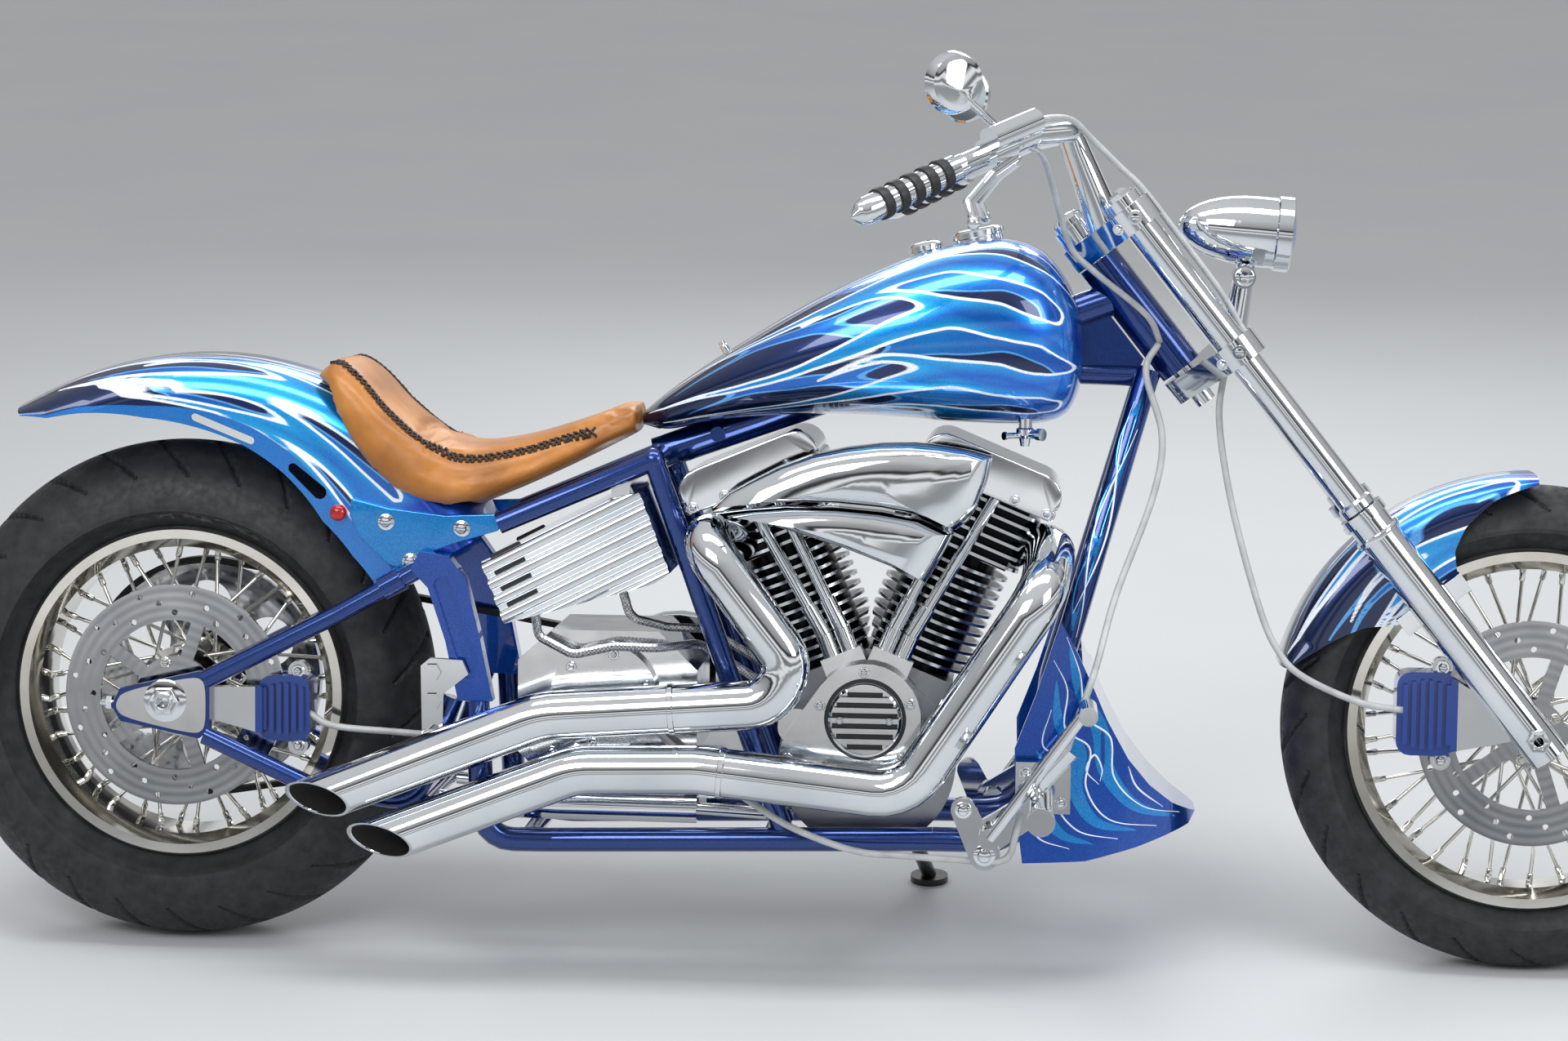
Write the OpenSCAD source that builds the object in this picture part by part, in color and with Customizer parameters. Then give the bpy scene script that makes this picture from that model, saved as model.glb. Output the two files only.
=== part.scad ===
/* [Stance] */
// Distance between the wheel axles
wheelbase = 1767; // [1755:1:1780]
// Lean to the left on the side stand, in degrees
lean = 9; // [8:0.5:10]
// Rake of the fork legs from the vertical, in degrees
rake = 38.5; // [38:0.5:39]
// Steering axis behind the fork legs
tree_offset = 70; // [66:1:74]

/* [Wheels] */
// Outer radius of the rear tyre
rear_r = 332; // [328:1:335]
// Width of the rear tyre
rear_w = 180; // [170:1:184]
// Radius of the rear rim's lips
rear_rim_r = 218; // [214:1:220]
// Outer radius of the front tyre
front_r = 317; // [312:1:319]
// Width of the front tyre
front_w = 125; // [115:1:127]
// Radius of the front rim's lips
front_rim_r = 235; // [230:1:237]
// Radius of the brake discs
disc_r = 146; // [140:1:148]
// Spokes on each side of a wheel
side_spokes = 20; // [16:2:24]
// Diameter of a spoke
spoke_d = 5; // [4:0.5:6]

/* [Frame] */
// Diameter of the main frame tubes
tube_d = 32; // [28:1:34]
// Distance of the lower rails from the middle plane
rail_y = 115; // [112:1:118]
// Height of the lower rails under the engine
rail_z = 165; // [162:1:170]
// Distance of the swingarm's tubes from the middle plane
arm_y = 135; // [134:1:137]

/* [Fork] */
// Distance of the fork legs from the middle plane
leg_y = 105; // [104:1:108]
// Diameter of the fork tubes
leg_d = 41; // [38:1:43]
// Diameter of the sliders
slider_d = 54; // [50:1:54]
// Height of the sliders above the axle, along the leg
slider_top = 368; // [350:1:380]
// Diameter of the handlebar
bar_d = 28; // [25:1:29]

/* [Engine] */
// Angle between the two cylinders, in degrees
vee = 45; // [44:0.5:46]
// Crankshaft ahead of the rear axle
crank_x = 911; // [905:1:917]
// Crankshaft above the ground
crank_z = 262; // [258:1:266]
// Radius of the barrel fins
fin_r = 75; // [72:1:76]
// Number of barrel fins
barrel_fins = 11; // [8:1:13]
// Outer diameter of the exhaust pipes
pipe_d = 63; // [58:1:63]

/* [Bodywork] */
// Half width of the rear fender
rear_fender_w = 112; // [110:1:112]
// Radius of the rear fender's crown
rear_fender_r = 448; // [444:1:448]
// Half width of the front fender
front_fender_w = 72; // [71:1:72]
// Radius of the front fender's crown
front_fender_r = 333; // [332:1:336]
// Sheet thickness of the fenders
sheet = 3; // [2.5:0.5:4]

/* [Hidden] */
$fn = 48;

// A leaning tyre rolls onto its crown, so each axle sits a little higher than the tyre's radius
rear_axle_z = rear_r + rear_w / 2 * (1 / cos(lean) - 1);
front_axle_z = front_r + front_w / 2 * (1 / cos(lean) - 1);

// Middle of the parked outline: along the bike, and across it at the leaning bar ends
middle_x = (wheelbase + front_r - rear_r) / 2;
middle_y = 152;

// Colours
chrome = "gainsboro";
blue = "mediumblue";
navy = "midnightblue";
black = "#222222";

// Stands the upright bike on the ground as it parks, leaning to its left
module parked() {
  translate([-middle_x, -middle_y, 0])
    rotate([-lean, 0, 0])
      children();
}

// Frame of the fork: Z runs up the legs from the front axle, X points forward across them
module fork_frame() {
  translate([wheelbase, 0, front_axle_z])
    rotate([0, -rake, 0])
      children();
}

function fork_point(x, y, z) = [
  wheelbase + x * cos(rake) - z * sin(rake),
  y,
  front_axle_z + x * sin(rake) + z * cos(rake)];

// Frame of one cylinder: Z runs up its axis from the crankshaft, side -1 is the rear one
module cylinder_frame(side) {
  translate([crank_x, 0, crank_z])
    rotate([0, side * vee / 2, 0])
      children();
}

function unit(v) = v / norm(v);

function flip(p, s) = [p.x, p.y * s, p.z];

// Z axis laid along a direction from a point
module along(p, d) {
  translate(p)
    rotate([0, acos(d.z / norm(d)), atan2(d.y, d.x)])
      children();
}

module rod(p, q, r) {
  along(p, q - p)
    cylinder(h = norm(q - p), r = r);
}

// Round bar across the bike at x, z between two y values
module cross_rod(x, z, y0, y1, r) {
  translate([x, y0, z])
    rotate([-90, 0, 0])
      cylinder(h = y1 - y0, r = r);
}

// Plate across y0..y1 with an outline in x, z
module side_plate(outline, y0, y1) {
  translate([0, y1, 0])
    rotate([90, 0, 0])
      linear_extrude(y1 - y0)
        polygon(outline);
}

// Round bar with straight legs and a ball at each corner
module jointed_rod(path, r) {
  for (i = [0:len(path) - 2])
    rod(path[i], path[i + 1], r);
  for (i = [1:len(path) - 2])
    translate(path[i])
      sphere(r = r + 0.3);
}

// Stations along a path whose corners are bent to the radii in bends: each is a point and a direction
function stations(path, bends, steps = 5) =
  let (last = len(path) - 1, d = [for (i = [0:last - 1]) unit(path[i + 1] - path[i])])
  concat([[path[0], d[0]]],
    [for (i = [1:1:last - 1])
      let (turn = acos(d[i - 1] * d[i]), inward = unit(d[i] - (d[i] * d[i - 1]) * d[i - 1]),
        b = bends[i - 1], c = path[i] - d[i - 1] * b * tan(turn / 2) + inward * b)
      for (k = [0:steps]) let (a = turn * k / steps)
        [c + b * (d[i - 1] * sin(a) - inward * cos(a)), d[i - 1] * cos(a) + inward * sin(a)]],
    [[path[last], d[last - 1]]]);

// Round bar or pipe along a bent path
module swept_rod(path, r, bends, sides = 16) {
  st = stations(path, bends);
  first = unit(cross(st[0][1], abs(st[0][1].y) < 0.9 ? [0, 1, 0] : [0, 0, 1]));
  normals = [for (i = 0, n = first; i < len(st); i = i + 1,
    n = i < len(st) ? unit(n - (n * st[i][1]) * st[i][1]) : n) n];
  loft([for (i = [0:len(st) - 1]) [for (k = [0:sides - 1]) let (a = 360 * k / sides)
    st[i][0] + r * (normals[i] * cos(a) + cross(st[i][1], normals[i]) * sin(a))]]);
}

// Outline around two circles, with round stretches as arcs
function link_outline(p, rp, q, rq, steps = 16) =
  let (d = q - p, base = atan2(d.y, d.x), tilt = acos((rp - rq) / norm(d)))
  concat(
    [for (i = [0:steps]) p + rp * [cos(base + tilt + (360 - 2 * tilt) * i / steps),
      sin(base + tilt + (360 - 2 * tilt) * i / steps)]],
    [for (i = [0:steps]) q + rq * [cos(base - tilt + 2 * tilt * i / steps),
      sin(base - tilt + 2 * tilt * i / steps)]]);

// Closed skin over rings of points, with a fan from each end ring's middle
module loft(rings) {
  n = len(rings[0]);
  last = len(rings) - 1;
  ends = [for (r = [rings[0], rings[last]]) [for (k = [0:2]) [for (p = r) p[k]] * [for (p = r) 1 / n]]];
  polyhedron(concat([for (r = rings) each r], ends), concat(walls(n, last),
    [for (j = [0:n - 1]) [j, (j + 1) % n, (last + 1) * n]],
    [for (j = [0:n - 1]) [last * n + (j + 1) % n, last * n + j, (last + 1) * n + 1]]));
}

// Triangles between neighbouring rings of n points
function walls(n, last) =
  [for (i = [0:last - 1], j = [0:n - 1])
    each [[i * n + j, (i + 1) * n + j, i * n + (j + 1) % n],
      [i * n + (j + 1) % n, (i + 1) * n + j, (i + 1) * n + (j + 1) % n]]];

// Skin through bow-shaped rings: the second half of each ring runs back along the first
module bow_loft(rings) {
  n = len(rings[0]);
  last = len(rings) - 1;
  end = [for (j = [0:n / 2 - 2]) each [[j, j + 1, n - 2 - j], [j, n - 2 - j, n - 1 - j]]];
  polyhedron([for (r = rings) each r], concat(walls(n, last), end,
    [for (f = end) [for (k = [2, 1, 0]) f[k] + last * n]]));
}

// Rounded box-like ring in the y, z plane at x
function oval_ring(x, low, high, half, power, n = 28) = [
  for (i = [0:n - 1]) let (a = 360 * (i + 0.5) / n, c = cos(a), s = sin(a))
    [x, half * sign(c) * pow(abs(c), 2 / power),
      (low + high) / 2 + (high - low) / 2 * sign(s) * pow(abs(s), 2 / power)]];

// Fender: columns are angle from the vertical (forward positive) and the skirt's lower radius
module fender(centre, crown_r, half, rise, skirt, steps) {
  first = skirt[0][0];
  span = skirt[len(skirt) - 1][0] - first;
  bow_loft([for (k = [0:steps])
    let (a = first + span * k / steps, low = lookup(a, skirt),
      section = concat([[half, low]], arch_points(crown_r, half, rise, low), [[-half, low]],
        [[sheet - half, low]], reverse(arch_points(crown_r - sheet, half - sheet, rise, low)),
        [[half - sheet, low]]))
    [for (p = section) [centre.x + p.y * sin(a), p.x, centre.y + p.y * cos(a)]]]);
}

function reverse(list) = [for (i = [len(list) - 1:-1:0]) list[i]];

// Crown of a fender as points of width and radius, from the left shoulder to the right one
function arch_points(top, half, rise, low) =
  let (h = min(rise, top - low - 1))
  [for (i = [0:10]) let (t = 180 * i / 10)
    [half * sign(cos(t)) * pow(abs(cos(t)), 0.6), top - h + h * pow(sin(t), 0.9)]];

// Tyre: a round crown that narrows to the rim's seat
module tyre(r, w, rim_r, rim_w) {
  rotate([90, 0, 0])
    rotate_extrude($fn = 96)
      intersection() {
        translate([r - w / 2, 0])
          circle(d = w);
        polygon([[rim_r - 14, -rim_w / 2 + 8], [rim_r + 2, -rim_w / 2 + 8], [rim_r + 34, -w / 2],
          [r + 1, -w / 2], [r + 1, w / 2], [rim_r + 34, w / 2], [rim_r + 2, rim_w / 2 - 8],
          [rim_r - 14, rim_w / 2 - 8]]);
      }
}

// Wire wheel: rim, hub with two flanges, and two crossed families of spokes on each side
module wire_wheel(rim_r, rim_w, hub_r, flange_r, flange_y, left, right, bore_r) {
  rotate([90, 0, 0])
    rotate_extrude($fn = 96)
      polygon([[rim_r - 26, -rim_w / 2 + 16], [rim_r - 14, -rim_w / 2], [rim_r - 2, -rim_w / 2],
        [rim_r, -rim_w / 2 + 2], [rim_r, -rim_w / 2 + 8], [rim_r - 14, -rim_w / 2 + 8],
        [rim_r - 14, rim_w / 2 - 8], [rim_r, rim_w / 2 - 8], [rim_r, rim_w / 2 - 2],
        [rim_r - 2, rim_w / 2], [rim_r - 14, rim_w / 2], [rim_r - 26, rim_w / 2 - 16]]);
  rotate([90, 0, 0])
    rotate_extrude()
      polygon([[bore_r, -left], [hub_r * 0.7, -left], [hub_r * 0.7, -flange_y - 6],
        [flange_r, -flange_y - 5], [flange_r, -flange_y + 5], [hub_r, -flange_y + 12],
        [hub_r, flange_y - 12], [flange_r, flange_y - 5], [flange_r, flange_y + 5],
        [hub_r * 0.7, flange_y + 6], [hub_r * 0.7, right], [bore_r, right]]);
  for (side = [-1, 1], k = [0:side_spokes - 1]) {
    lean_way = k % 2 == 0 ? 1 : -1;
    at_hub = 360 * k / side_spokes + side * 180 / side_spokes / 2;
    at_rim = at_hub + lean_way * 38;
    hub_y = side * (flange_y + (lean_way > 0 ? 3 : -4));
    rim_y = side * (lean_way > 0 ? 14 : 7);
    rod([(flange_r - 5) * sin(at_hub), hub_y, (flange_r - 5) * cos(at_hub)],
      [(rim_r - 22) * sin(at_rim), rim_y, (rim_r - 22) * cos(at_rim)], spoke_d / 2);
  }
}

// Drilled brake disc on a five-armed carrier
module brake_disc(y0, thick, eye_r, hole_r) {
  arms = 5;
  rotate([90, 0, 0])
    translate([0, 0, -y0 - thick])
      difference() {
        linear_extrude(thick)
          difference() {
            circle(r = disc_r, $fn = 96);
            difference() {
              circle(r = disc_r * 0.68);
              circle(r = eye_r);
              for (k = [0:arms - 1])
                rotate(360 * k / arms)
                  translate([0, -9])
                    square([disc_r * 0.7, 18]);
            }
            circle(r = hole_r);
          }
        for (k = [0:11], ring = [0:2])
          rotate(30 * k + 10 * ring)
            translate([disc_r * (0.75 + 0.09 * ring), 0, -1])
              cylinder(h = thick + 2, d = 8, $fn = 16);
      }
}

// Rectangle with round corners, about the origin
function round_box(w, h, r) = [
  for (c = [[1, 1, 0], [-1, 1, 90], [-1, -1, 180], [1, -1, 270]], i = [0:4])
    [c[0] * (w / 2 - r) + r * cos(c[2] + 22.5 * i), c[1] * (h / 2 - r) + r * sin(c[2] + 22.5 * i)]];

// Ribbed two-piston caliper: a rounded block over a disc, hollowed for the disc, with two bolt lugs
module caliper(long, tall, y0, y1, disc_y, disc_x, disc_z) {
  ribs = 6;
  difference() {
    union() {
      rotate([90, 0, 0])
        translate([0, 0, -y1])
          linear_extrude(y1 - y0 - 8)
            polygon(round_box(long, tall, 18));
      for (k = [0:ribs - 1])
        translate([-long * 0.36 + long * 0.72 * k / (ribs - 1), y0 + 9, 0])
          rotate([90, 0, 0])
            linear_extrude(9)
              polygon(round_box(long * 0.08, tall - 30 + 12 * sin(180 * k / (ribs - 1)), 2));
      for (z = [-1, 1])
        translate([long * 0.26, 0, z * (tall / 2 + 6)])
          cross_rod(0, 0, y0 + 12, y0 + 30, 13);
    }
    translate([disc_x, disc_y + 8, disc_z])
      rotate([90, 0, 0])
        cylinder(h = 16, r = disc_r + 6, $fn = 96);
  }
}

// Frame: neck, backbone under the tank, lower brace and gusset
tree_low = 608;
tree_high = 824;
tree_t = 32;
neck_low = tree_low + tree_t + 5;
neck_high = tree_high - 2;
stem_r = 14;
tunnel_w = 36;
backbone_rear = [625, 0, 655];
backbone_front = fork_point(-tree_offset - 14, 0, neck_high - 52);
brace_rear = [960, 0, 774];
brace_front = fork_point(-tree_offset - 45, 0, neck_low + 22);

// Point behind the neck, as x and z
function neck_point(back, up) = let (p = fork_point(-tree_offset - back, 0, up)) [p.x, p.z];

module neck_bore(extra) {
  fork_frame()
    translate([-tree_offset, 0, neck_low - 20])
      cylinder(h = neck_high - neck_low + 40, r = stem_r + extra);
}

module frame_backbone() parked() color(navy) difference() {
  union() {
    fork_frame()
      translate([-tree_offset, 0, neck_low])
        cylinder(h = neck_high - neck_low, r = 29);
    rod(backbone_rear, backbone_front, 22);
    rod(brace_rear, brace_front, 14);
    for (k = [0.14, 0.8])
      translate(backbone_rear + (backbone_front - backbone_rear) * k)
        rotate([90, 0, 0])
          cylinder(h = 2 * tunnel_w, r = 10, center = true);
    side_plate([[1110, 810], neck_point(31, neck_high - 62), neck_point(31, neck_low + 39),
      neck_point(56, neck_low + 27), [1060, 775]], -6, 6);
  }
  neck_bore(0.05);
}

// Twin downtubes from the neck to the lower rails
downtube_path = [fork_point(-tree_offset - 35, 26, neck_low + 24), [1150, 100, 360],
  [1126, rail_y, rail_z + 5], [1000, rail_y, rail_z + 5]];

module frame_downtubes() parked() color(navy) difference() {
  for (s = [-1, 1])
    swept_rod([for (p = downtube_path) flip(p, s)], tube_d / 2, [120, 70]);
  fork_frame()
    translate([-tree_offset, 0, neck_low - 12])
      cylinder(h = 200, r = 29.2);
  translate([brace_front.x - 112, -7, brace_front.z - 28])
    cube([150, 14, 90]);
}

// Lower rails, turned up at the back to the pivot castings, with two cross tubes
rail_path = [[1000, rail_y, rail_z + 5], [500, rail_y, rail_z - 8], [418, arm_y + 5, rail_z - 4],
  [409, arm_y + 5, 342]];
stand_pivot = [960, 150, 138];
stand_axis = [0, cos(38.5), sin(38.5)];

module frame_lower_rails() parked() color(navy) {
  for (s = [-1, 1])
    swept_rod([for (p = rail_path) flip(p, s)], tube_d / 2, [60, 42]);
  for (x = [470, 790])
    cross_rod(x, rail_z - 9 + (x - 420) * 15 / 580, -rail_y, rail_y, 12);
  rod(stand_pivot - stand_axis * 30, stand_pivot - stand_axis * 10.2, 15);
  rod([stand_pivot.x, rail_y - 9, rail_z - 5], stand_pivot - stand_axis * 24, 9);
  rod(stand_pivot - stand_axis * 12, stand_pivot + stand_axis * 16, 6);
}

// Seat rails, seat posts and the cross tube that the backbone ends on
seat_rail_y = 105;
rail_rear = [432, 570];
post_top = [632, 655];
post_low = [806, 174];

module frame_seat_rails() parked() color(navy) {
  for (s = [-1, 1]) {
    rod([rail_rear.x, s * (seat_rail_y + 10), rail_rear.y], [post_top.x, s * seat_rail_y, post_top.y], 14);
    rod([post_top.x, s * seat_rail_y, post_top.y], [post_low.x, s * (rail_y - 5), post_low.y], 14);
    translate([post_top.x, s * seat_rail_y, post_top.y])
      sphere(r = 16);
  }
  cross_rod(post_top.x, post_top.y, -seat_rail_y, seat_rail_y, 14);
}

// Chin spoiler: a scoop bolted to the feet of the downtubes, open at the back
spoiler_outline = [[1160, 460], [1180, 424], [1200, 382], [1222, 332], [1250, 281], [1278, 246], [1308, 220],
  [1340, 202], [1331, 188], [1262, 166], [1197, 150], [1116, 146], [1106, 220], [1104, 295], [1130, 364]];
spoiler_hollow = [[1080, 480], [1206, 480], [1200, 412], [1182, 401], [1192, 378], [1214, 328],
  [1242, 276], [1270, 241], [1298, 222], [1258, 174], [1195, 158], [1130, 100], [1060, 100], [1060, 295]];
spoiler_w = 142;
spoiler_nose = 195;

module spoiler_form(outline, wall) intersection() {
  side_plate(outline, wall - spoiler_w, spoiler_w - wall);
  translate([0, 0, 90])
    linear_extrude(420)
      polygon(concat([[1050, wall - spoiler_w], [1150, wall - spoiler_w]],
        [for (a = [-80:10:80]) [1150 + (spoiler_nose - wall) * cos(a), (spoiler_w - wall) * sin(a)]],
        [[1150, spoiler_w - wall], [1050, spoiler_w - wall]]));
}

module chin_spoiler() parked() color(blue) {
  difference() {
    spoiler_form(spoiler_outline, 0);
    spoiler_form(spoiler_hollow, 8);
  }
  for (s = [-1, 1])
    cross_rod(1142, 300, s < 0 ? -136 : 117, s < 0 ? -117 : 136, 11);
}

// Pivot castings behind the gearbox, with an oblong recess in their outer face
casting_outline = [[322, 512], [334, 535], [372, 530], [394, 500], [412, 430], [430, 342], [385, 342],
  [368, 420], [345, 488]];

module pivot_castings() parked() color(blue)
  for (s = [-1, 1])
    difference() {
      side_plate(casting_outline, s < 0 ? -arm_y - 13 : arm_y - 13, s < 0 ? -arm_y + 13 : arm_y + 13);
      side_plate(link_outline([364, 492], 11, [400, 382], 11),
        s < 0 ? -arm_y - 20 : arm_y + 7, s < 0 ? -arm_y - 7 : arm_y + 20);
    }

// Swingarm: axle plates, upper struts to the castings and lower tubes to the shock bridge
plate_outline = [for (p = [[-72, -8], [-60, 15], [44, 39], [58, 27], [58, -37], [44, -49], [-60, -28]])
  p + [0, rear_axle_z]];
arm_r = 12.5;
upper_arm = [[50, arm_y, rear_axle_z + 27], [225, arm_y, 450], [334, arm_y, 512]];
lower_arm = [[50, arm_y, rear_axle_z - 45], [190, arm_y, 224], [328, arm_y, 205], [378, arm_y, 345]];

module swingarm() parked() color(navy) difference() {
  union() {
    for (s = [-1, 1]) {
      side_plate(plate_outline, s < 0 ? -arm_y - 7 : arm_y - 7, s < 0 ? -arm_y + 7 : arm_y + 7);
      swept_rod([for (p = upper_arm) flip(p, s)], arm_r, [80]);
      swept_rod([for (p = lower_arm) flip(p, s)], arm_r, [90, 40]);
      rod(flip(upper_arm[2] - [50, 0, 28], s), flip(upper_arm[2] - [24, 0, 13], s), 16.5);
    }
  }
  cross_rod(0, rear_axle_z, -200, 200, 12.5);
  for (s = [-1, 1])
    side_plate(casting_outline, s < 0 ? -arm_y - 13 : arm_y - 13, s < 0 ? -arm_y + 13 : arm_y + 13);
}

// Cross tube between the lower arms, which the shock absorbers push on
module swingarm_bridge() parked() color(navy)
  cross_rod(338, 206, -arm_y, arm_y, 11);

// Hollow rear axle with its spacers and nuts
module rear_axle() parked() color(chrome) difference() {
  union() {
    cross_rod(0, rear_axle_z, -162, 162, 12.5);
    cross_rod(0, rear_axle_z, -arm_y + 7, -92, 18);
    cross_rod(0, rear_axle_z, 121, arm_y - 7, 18);
    for (s = [-1, 1])
      translate([0, s * (arm_y + 14.5), rear_axle_z])
        rotate([90, 0, 0])
          cylinder(h = 15, r = 20, center = true, $fn = 6);
  }
  cross_rod(0, rear_axle_z, -200, 200, 8);
}

// Twin shock absorbers lying under the gearbox
module shock_absorbers() parked() color(chrome)
  for (s = [-1, 1]) {
    rod([430, s * 72, 198], [690, s * 72, 196], 20);
    rod([338 + 11, s * 72, 205], [430, s * 72, 198], 8);
    rod([690, s * 72, 196], [806, s * 72, 190], 8);
    cross_rod(806, 190, s * 72 - 12, s * 72 + 12, 11);
  }

// Fuel tank: columns are place along the bike, lower edge, upper edge and half width
tank_sections = [
  [609, 694, 712, 26], [640, 688, 738, 60], [690, 698, 774, 90], [760, 708, 819, 116],
  [840, 713, 866, 137], [930, 711, 909, 149], [1010, 706, 936, 151], [1080, 703, 945, 144],
  [1130, 705, 928, 128], [1162, 717, 890, 103], [1178, 745, 850, 72], [1184, 780, 815, 34]];

// The tank grows and shrinks with the room up to the neck
function tank_x(x) = 609 + (x - 609) * (wheelbase - 1192) / 575;

module fuel_tank() parked() color(blue) difference() {
  loft([for (t = tank_sections) oval_ring(tank_x(t[0]), t[1], t[2], t[3], 2.5)]);
  along(backbone_rear - unit(backbone_front - backbone_rear) * 40, backbone_front - backbone_rear)
    translate([-31, -tunnel_w, 0])
      cube([300, 2 * tunnel_w, 720]);
}

// Filler cap and gauge on the tank's crown: columns are place, height, radius
console_rounds = [[1046, 938, 35], [978, 919, 23]];

module tank_console() parked() color(chrome)
  for (c = console_rounds)
    translate([tank_x(c[0]), 0, c[1]])
      rotate([0, -12, 0])
        rotate_extrude()
          polygon([[0, 0], [c[2] - 3, 0], [c[2] - 3, 8], [c[2], 9], [c[2], 16], [c[2] - 6, 20], [0, 22]]);

// Solo seat: columns are place along the bike, lower edge, upper edge and half width
seat_sections = [
  [190, 740, 766, 88], [214, 702, 782, 122], [245, 645, 768, 134], [285, 604, 727, 139],
  [330, 584, 690, 142], [380, 582, 667, 142], [440, 604, 672, 133], [510, 636, 691, 113],
  [570, 666, 713, 88], [604, 684, 728, 68]];

rear_fender_centre = [30, rear_axle_z];

module seat() parked() color("peru") difference() {
  loft([for (t = seat_sections) oval_ring(t[0], t[1], t[2], t[3], 3)]);
  cross_rod(rear_fender_centre.x, rear_fender_centre.y, -rear_fender_w - 1.5, rear_fender_w + 1.5,
    rear_fender_r + 1, $fn = 96);
}

// Rear fender: columns are angle from the vertical and the skirt's lower radius
rear_skirt = [[-32, 432], [-28, 412], [-22, 400], [-10, 372], [0, 356], [12, 338], [22, 320], [36, 291],
  [48, 284], [60, 286]];

module rear_fender() parked() color(navy)
  fender(rear_fender_centre, rear_fender_r, rear_fender_w, 52, rear_skirt, 30);

// Cover plates that bolt the fender to the seat rails
strut_outline = [[240, 600], [289, 588], [363, 580], [436, 583], [433, 561], [379, 545], [341, 530],
  [325, 506], [312, 504], [289, 514], [251, 550], [238, 577]];

module fender_struts() parked() color("royalblue")
  for (s = [-1, 1])
    side_plate(strut_outline, s < 0 ? -rear_fender_w - 9 : rear_fender_w,
      s < 0 ? -rear_fender_w : rear_fender_w + 9);

// Small round marker lamps on the fender's skirts
module marker_lamps() parked() color("red")
  for (s = [-1, 1])
    translate([222, s * rear_fender_w, 580])
      rotate([-90 * s, 0, 0])
        rotate_extrude()
          polygon([[0, 0], [11, 0], [11, 5], [9, 9], [5, 11.5], [0, 12.5]]);

// Oil tank: ribbed barrel under the seat
oil_outline = [[410, 520], [441, 440], [636, 496], [656, 510], [616, 614], [575, 604]];
oil_w = 118;
oil_tilt = atan2(84, 165);

oil_tab_x = 590;

module oil_tank() parked() color(chrome) {
  oil_barrel();
  for (s = [-1, 1])
    translate([oil_tab_x - 12, s * seat_rail_y - 4, 590])
      cube([24, 8, 36]);
}

module oil_barrel() intersection() {
  side_plate(oil_outline, -oil_w - 20, oil_w + 20);
  translate([425, 0, 480])
    rotate([0, -oil_tilt, 0])
      union() {
        translate([-60, -oil_w, -120])
          cube([360, 2 * oil_w, 240]);
        for (s = [-1, 1], z = [-100:22:100])
          translate([-60, s * oil_w, z])
            rotate([0, 90, 0])
              cylinder(h = 360, r = 9, $fn = 24);
      }
}

// Engine: crankcase halves with the two cylinder decks
case_w = 72;
deck_z = 138;
barrel_top = 300;
head_top = 385;

module crankcase() parked() color("silver") {
  difference() {
    union() {
      cross_rod(crank_x, crank_z, -case_w, case_w, 116, $fn = 96);
      cross_rod(crank_x, crank_z, case_w, primary_y, 60);
      for (side = [-1, 1])
        cylinder_frame(side)
          translate([-62, -case_w + 4, 0])
            cube([124, 2 * case_w - 8, deck_z]);
    }
    for (side = [-1, 1])
      cylinder_frame(side)
        translate([-110, -200, deck_z])
          cube([220, 400, 200]);
  }
}

// Barrels with round cooling fins and heads with square ones, one pair per cylinder
core_r = 56;
fin_t = 4;
fin_pitch = (barrel_top - deck_z - 16) / barrel_fins;
head_fins = 6;
head_pitch = (head_top - barrel_top) / head_fins;

module cylinders() parked() color("silver")
  for (side = [-1, 1])
    difference() {
      cylinder_frame(side)
        barrel_and_head();
      translate([crank_x + (side < 0 ? -3 : -203), -200, crank_z])
        cube([206, 400, 500]);
    }

module barrel_and_head() {
  rotate_extrude()
    polygon(concat([[0, deck_z], [core_r, deck_z]],
      [for (k = [0:barrel_fins - 1]) let (z = deck_z + 12 + k * fin_pitch)
        each [[core_r, z], [fin_r, z], [fin_r, z + fin_t], [core_r, z + fin_t]]],
      [[core_r, barrel_top], [0, barrel_top]]));
  translate([-66, -62, barrel_top])
    cube([132, 124, head_top - barrel_top]);
  for (k = [0:head_fins - 1])
    translate([0, 0, barrel_top + k * head_pitch + 4])
      linear_extrude(fin_t)
        head_fin();
}

// Head fin: a rounded rectangle
module head_fin() {
  square([164, 110], center = true);
  square([124, 150], center = true);
  for (x = [-62, 62], y = [-55, 55])
    translate([x, y])
      circle(r = 20);
}

// Rocker boxes on the heads: a base, a thin gasket line and a cover with round shoulders
rocker_half = 96;
rocker_round = 30;

function rocker_outline() =
  let (top = head_top + 54 - rocker_round, w = rocker_half - rocker_round)
  concat([[-rocker_half + 4, head_top], [rocker_half - 4, head_top], [rocker_half, head_top + 4],
    [rocker_half, head_top + 14], [rocker_half - 4, head_top + 14], [rocker_half - 4, head_top + 17],
    [rocker_half, head_top + 17]],
    [for (a = [0:15:90]) [w + rocker_round * cos(a), top + rocker_round * sin(a)]],
    [for (a = [90:15:180]) [-w + rocker_round * cos(a), top + rocker_round * sin(a)]],
    [[-rocker_half, head_top + 17], [-rocker_half + 4, head_top + 17], [-rocker_half + 4, head_top + 14],
    [-rocker_half, head_top + 14], [-rocker_half, head_top + 4]]);

module rocker_boxes() parked() color(chrome)
  for (side = [-1, 1])
    cylinder_frame(side)
      rotate([90, 0, 0])
        translate([0, 0, -72])
          linear_extrude(168)
            polygon(rocker_outline());

// Pushrod tubes: columns are foot across the cylinder and top across the cylinder
pushrods = [[12, -16], [36, 20]];
lifter_top = 178;

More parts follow.
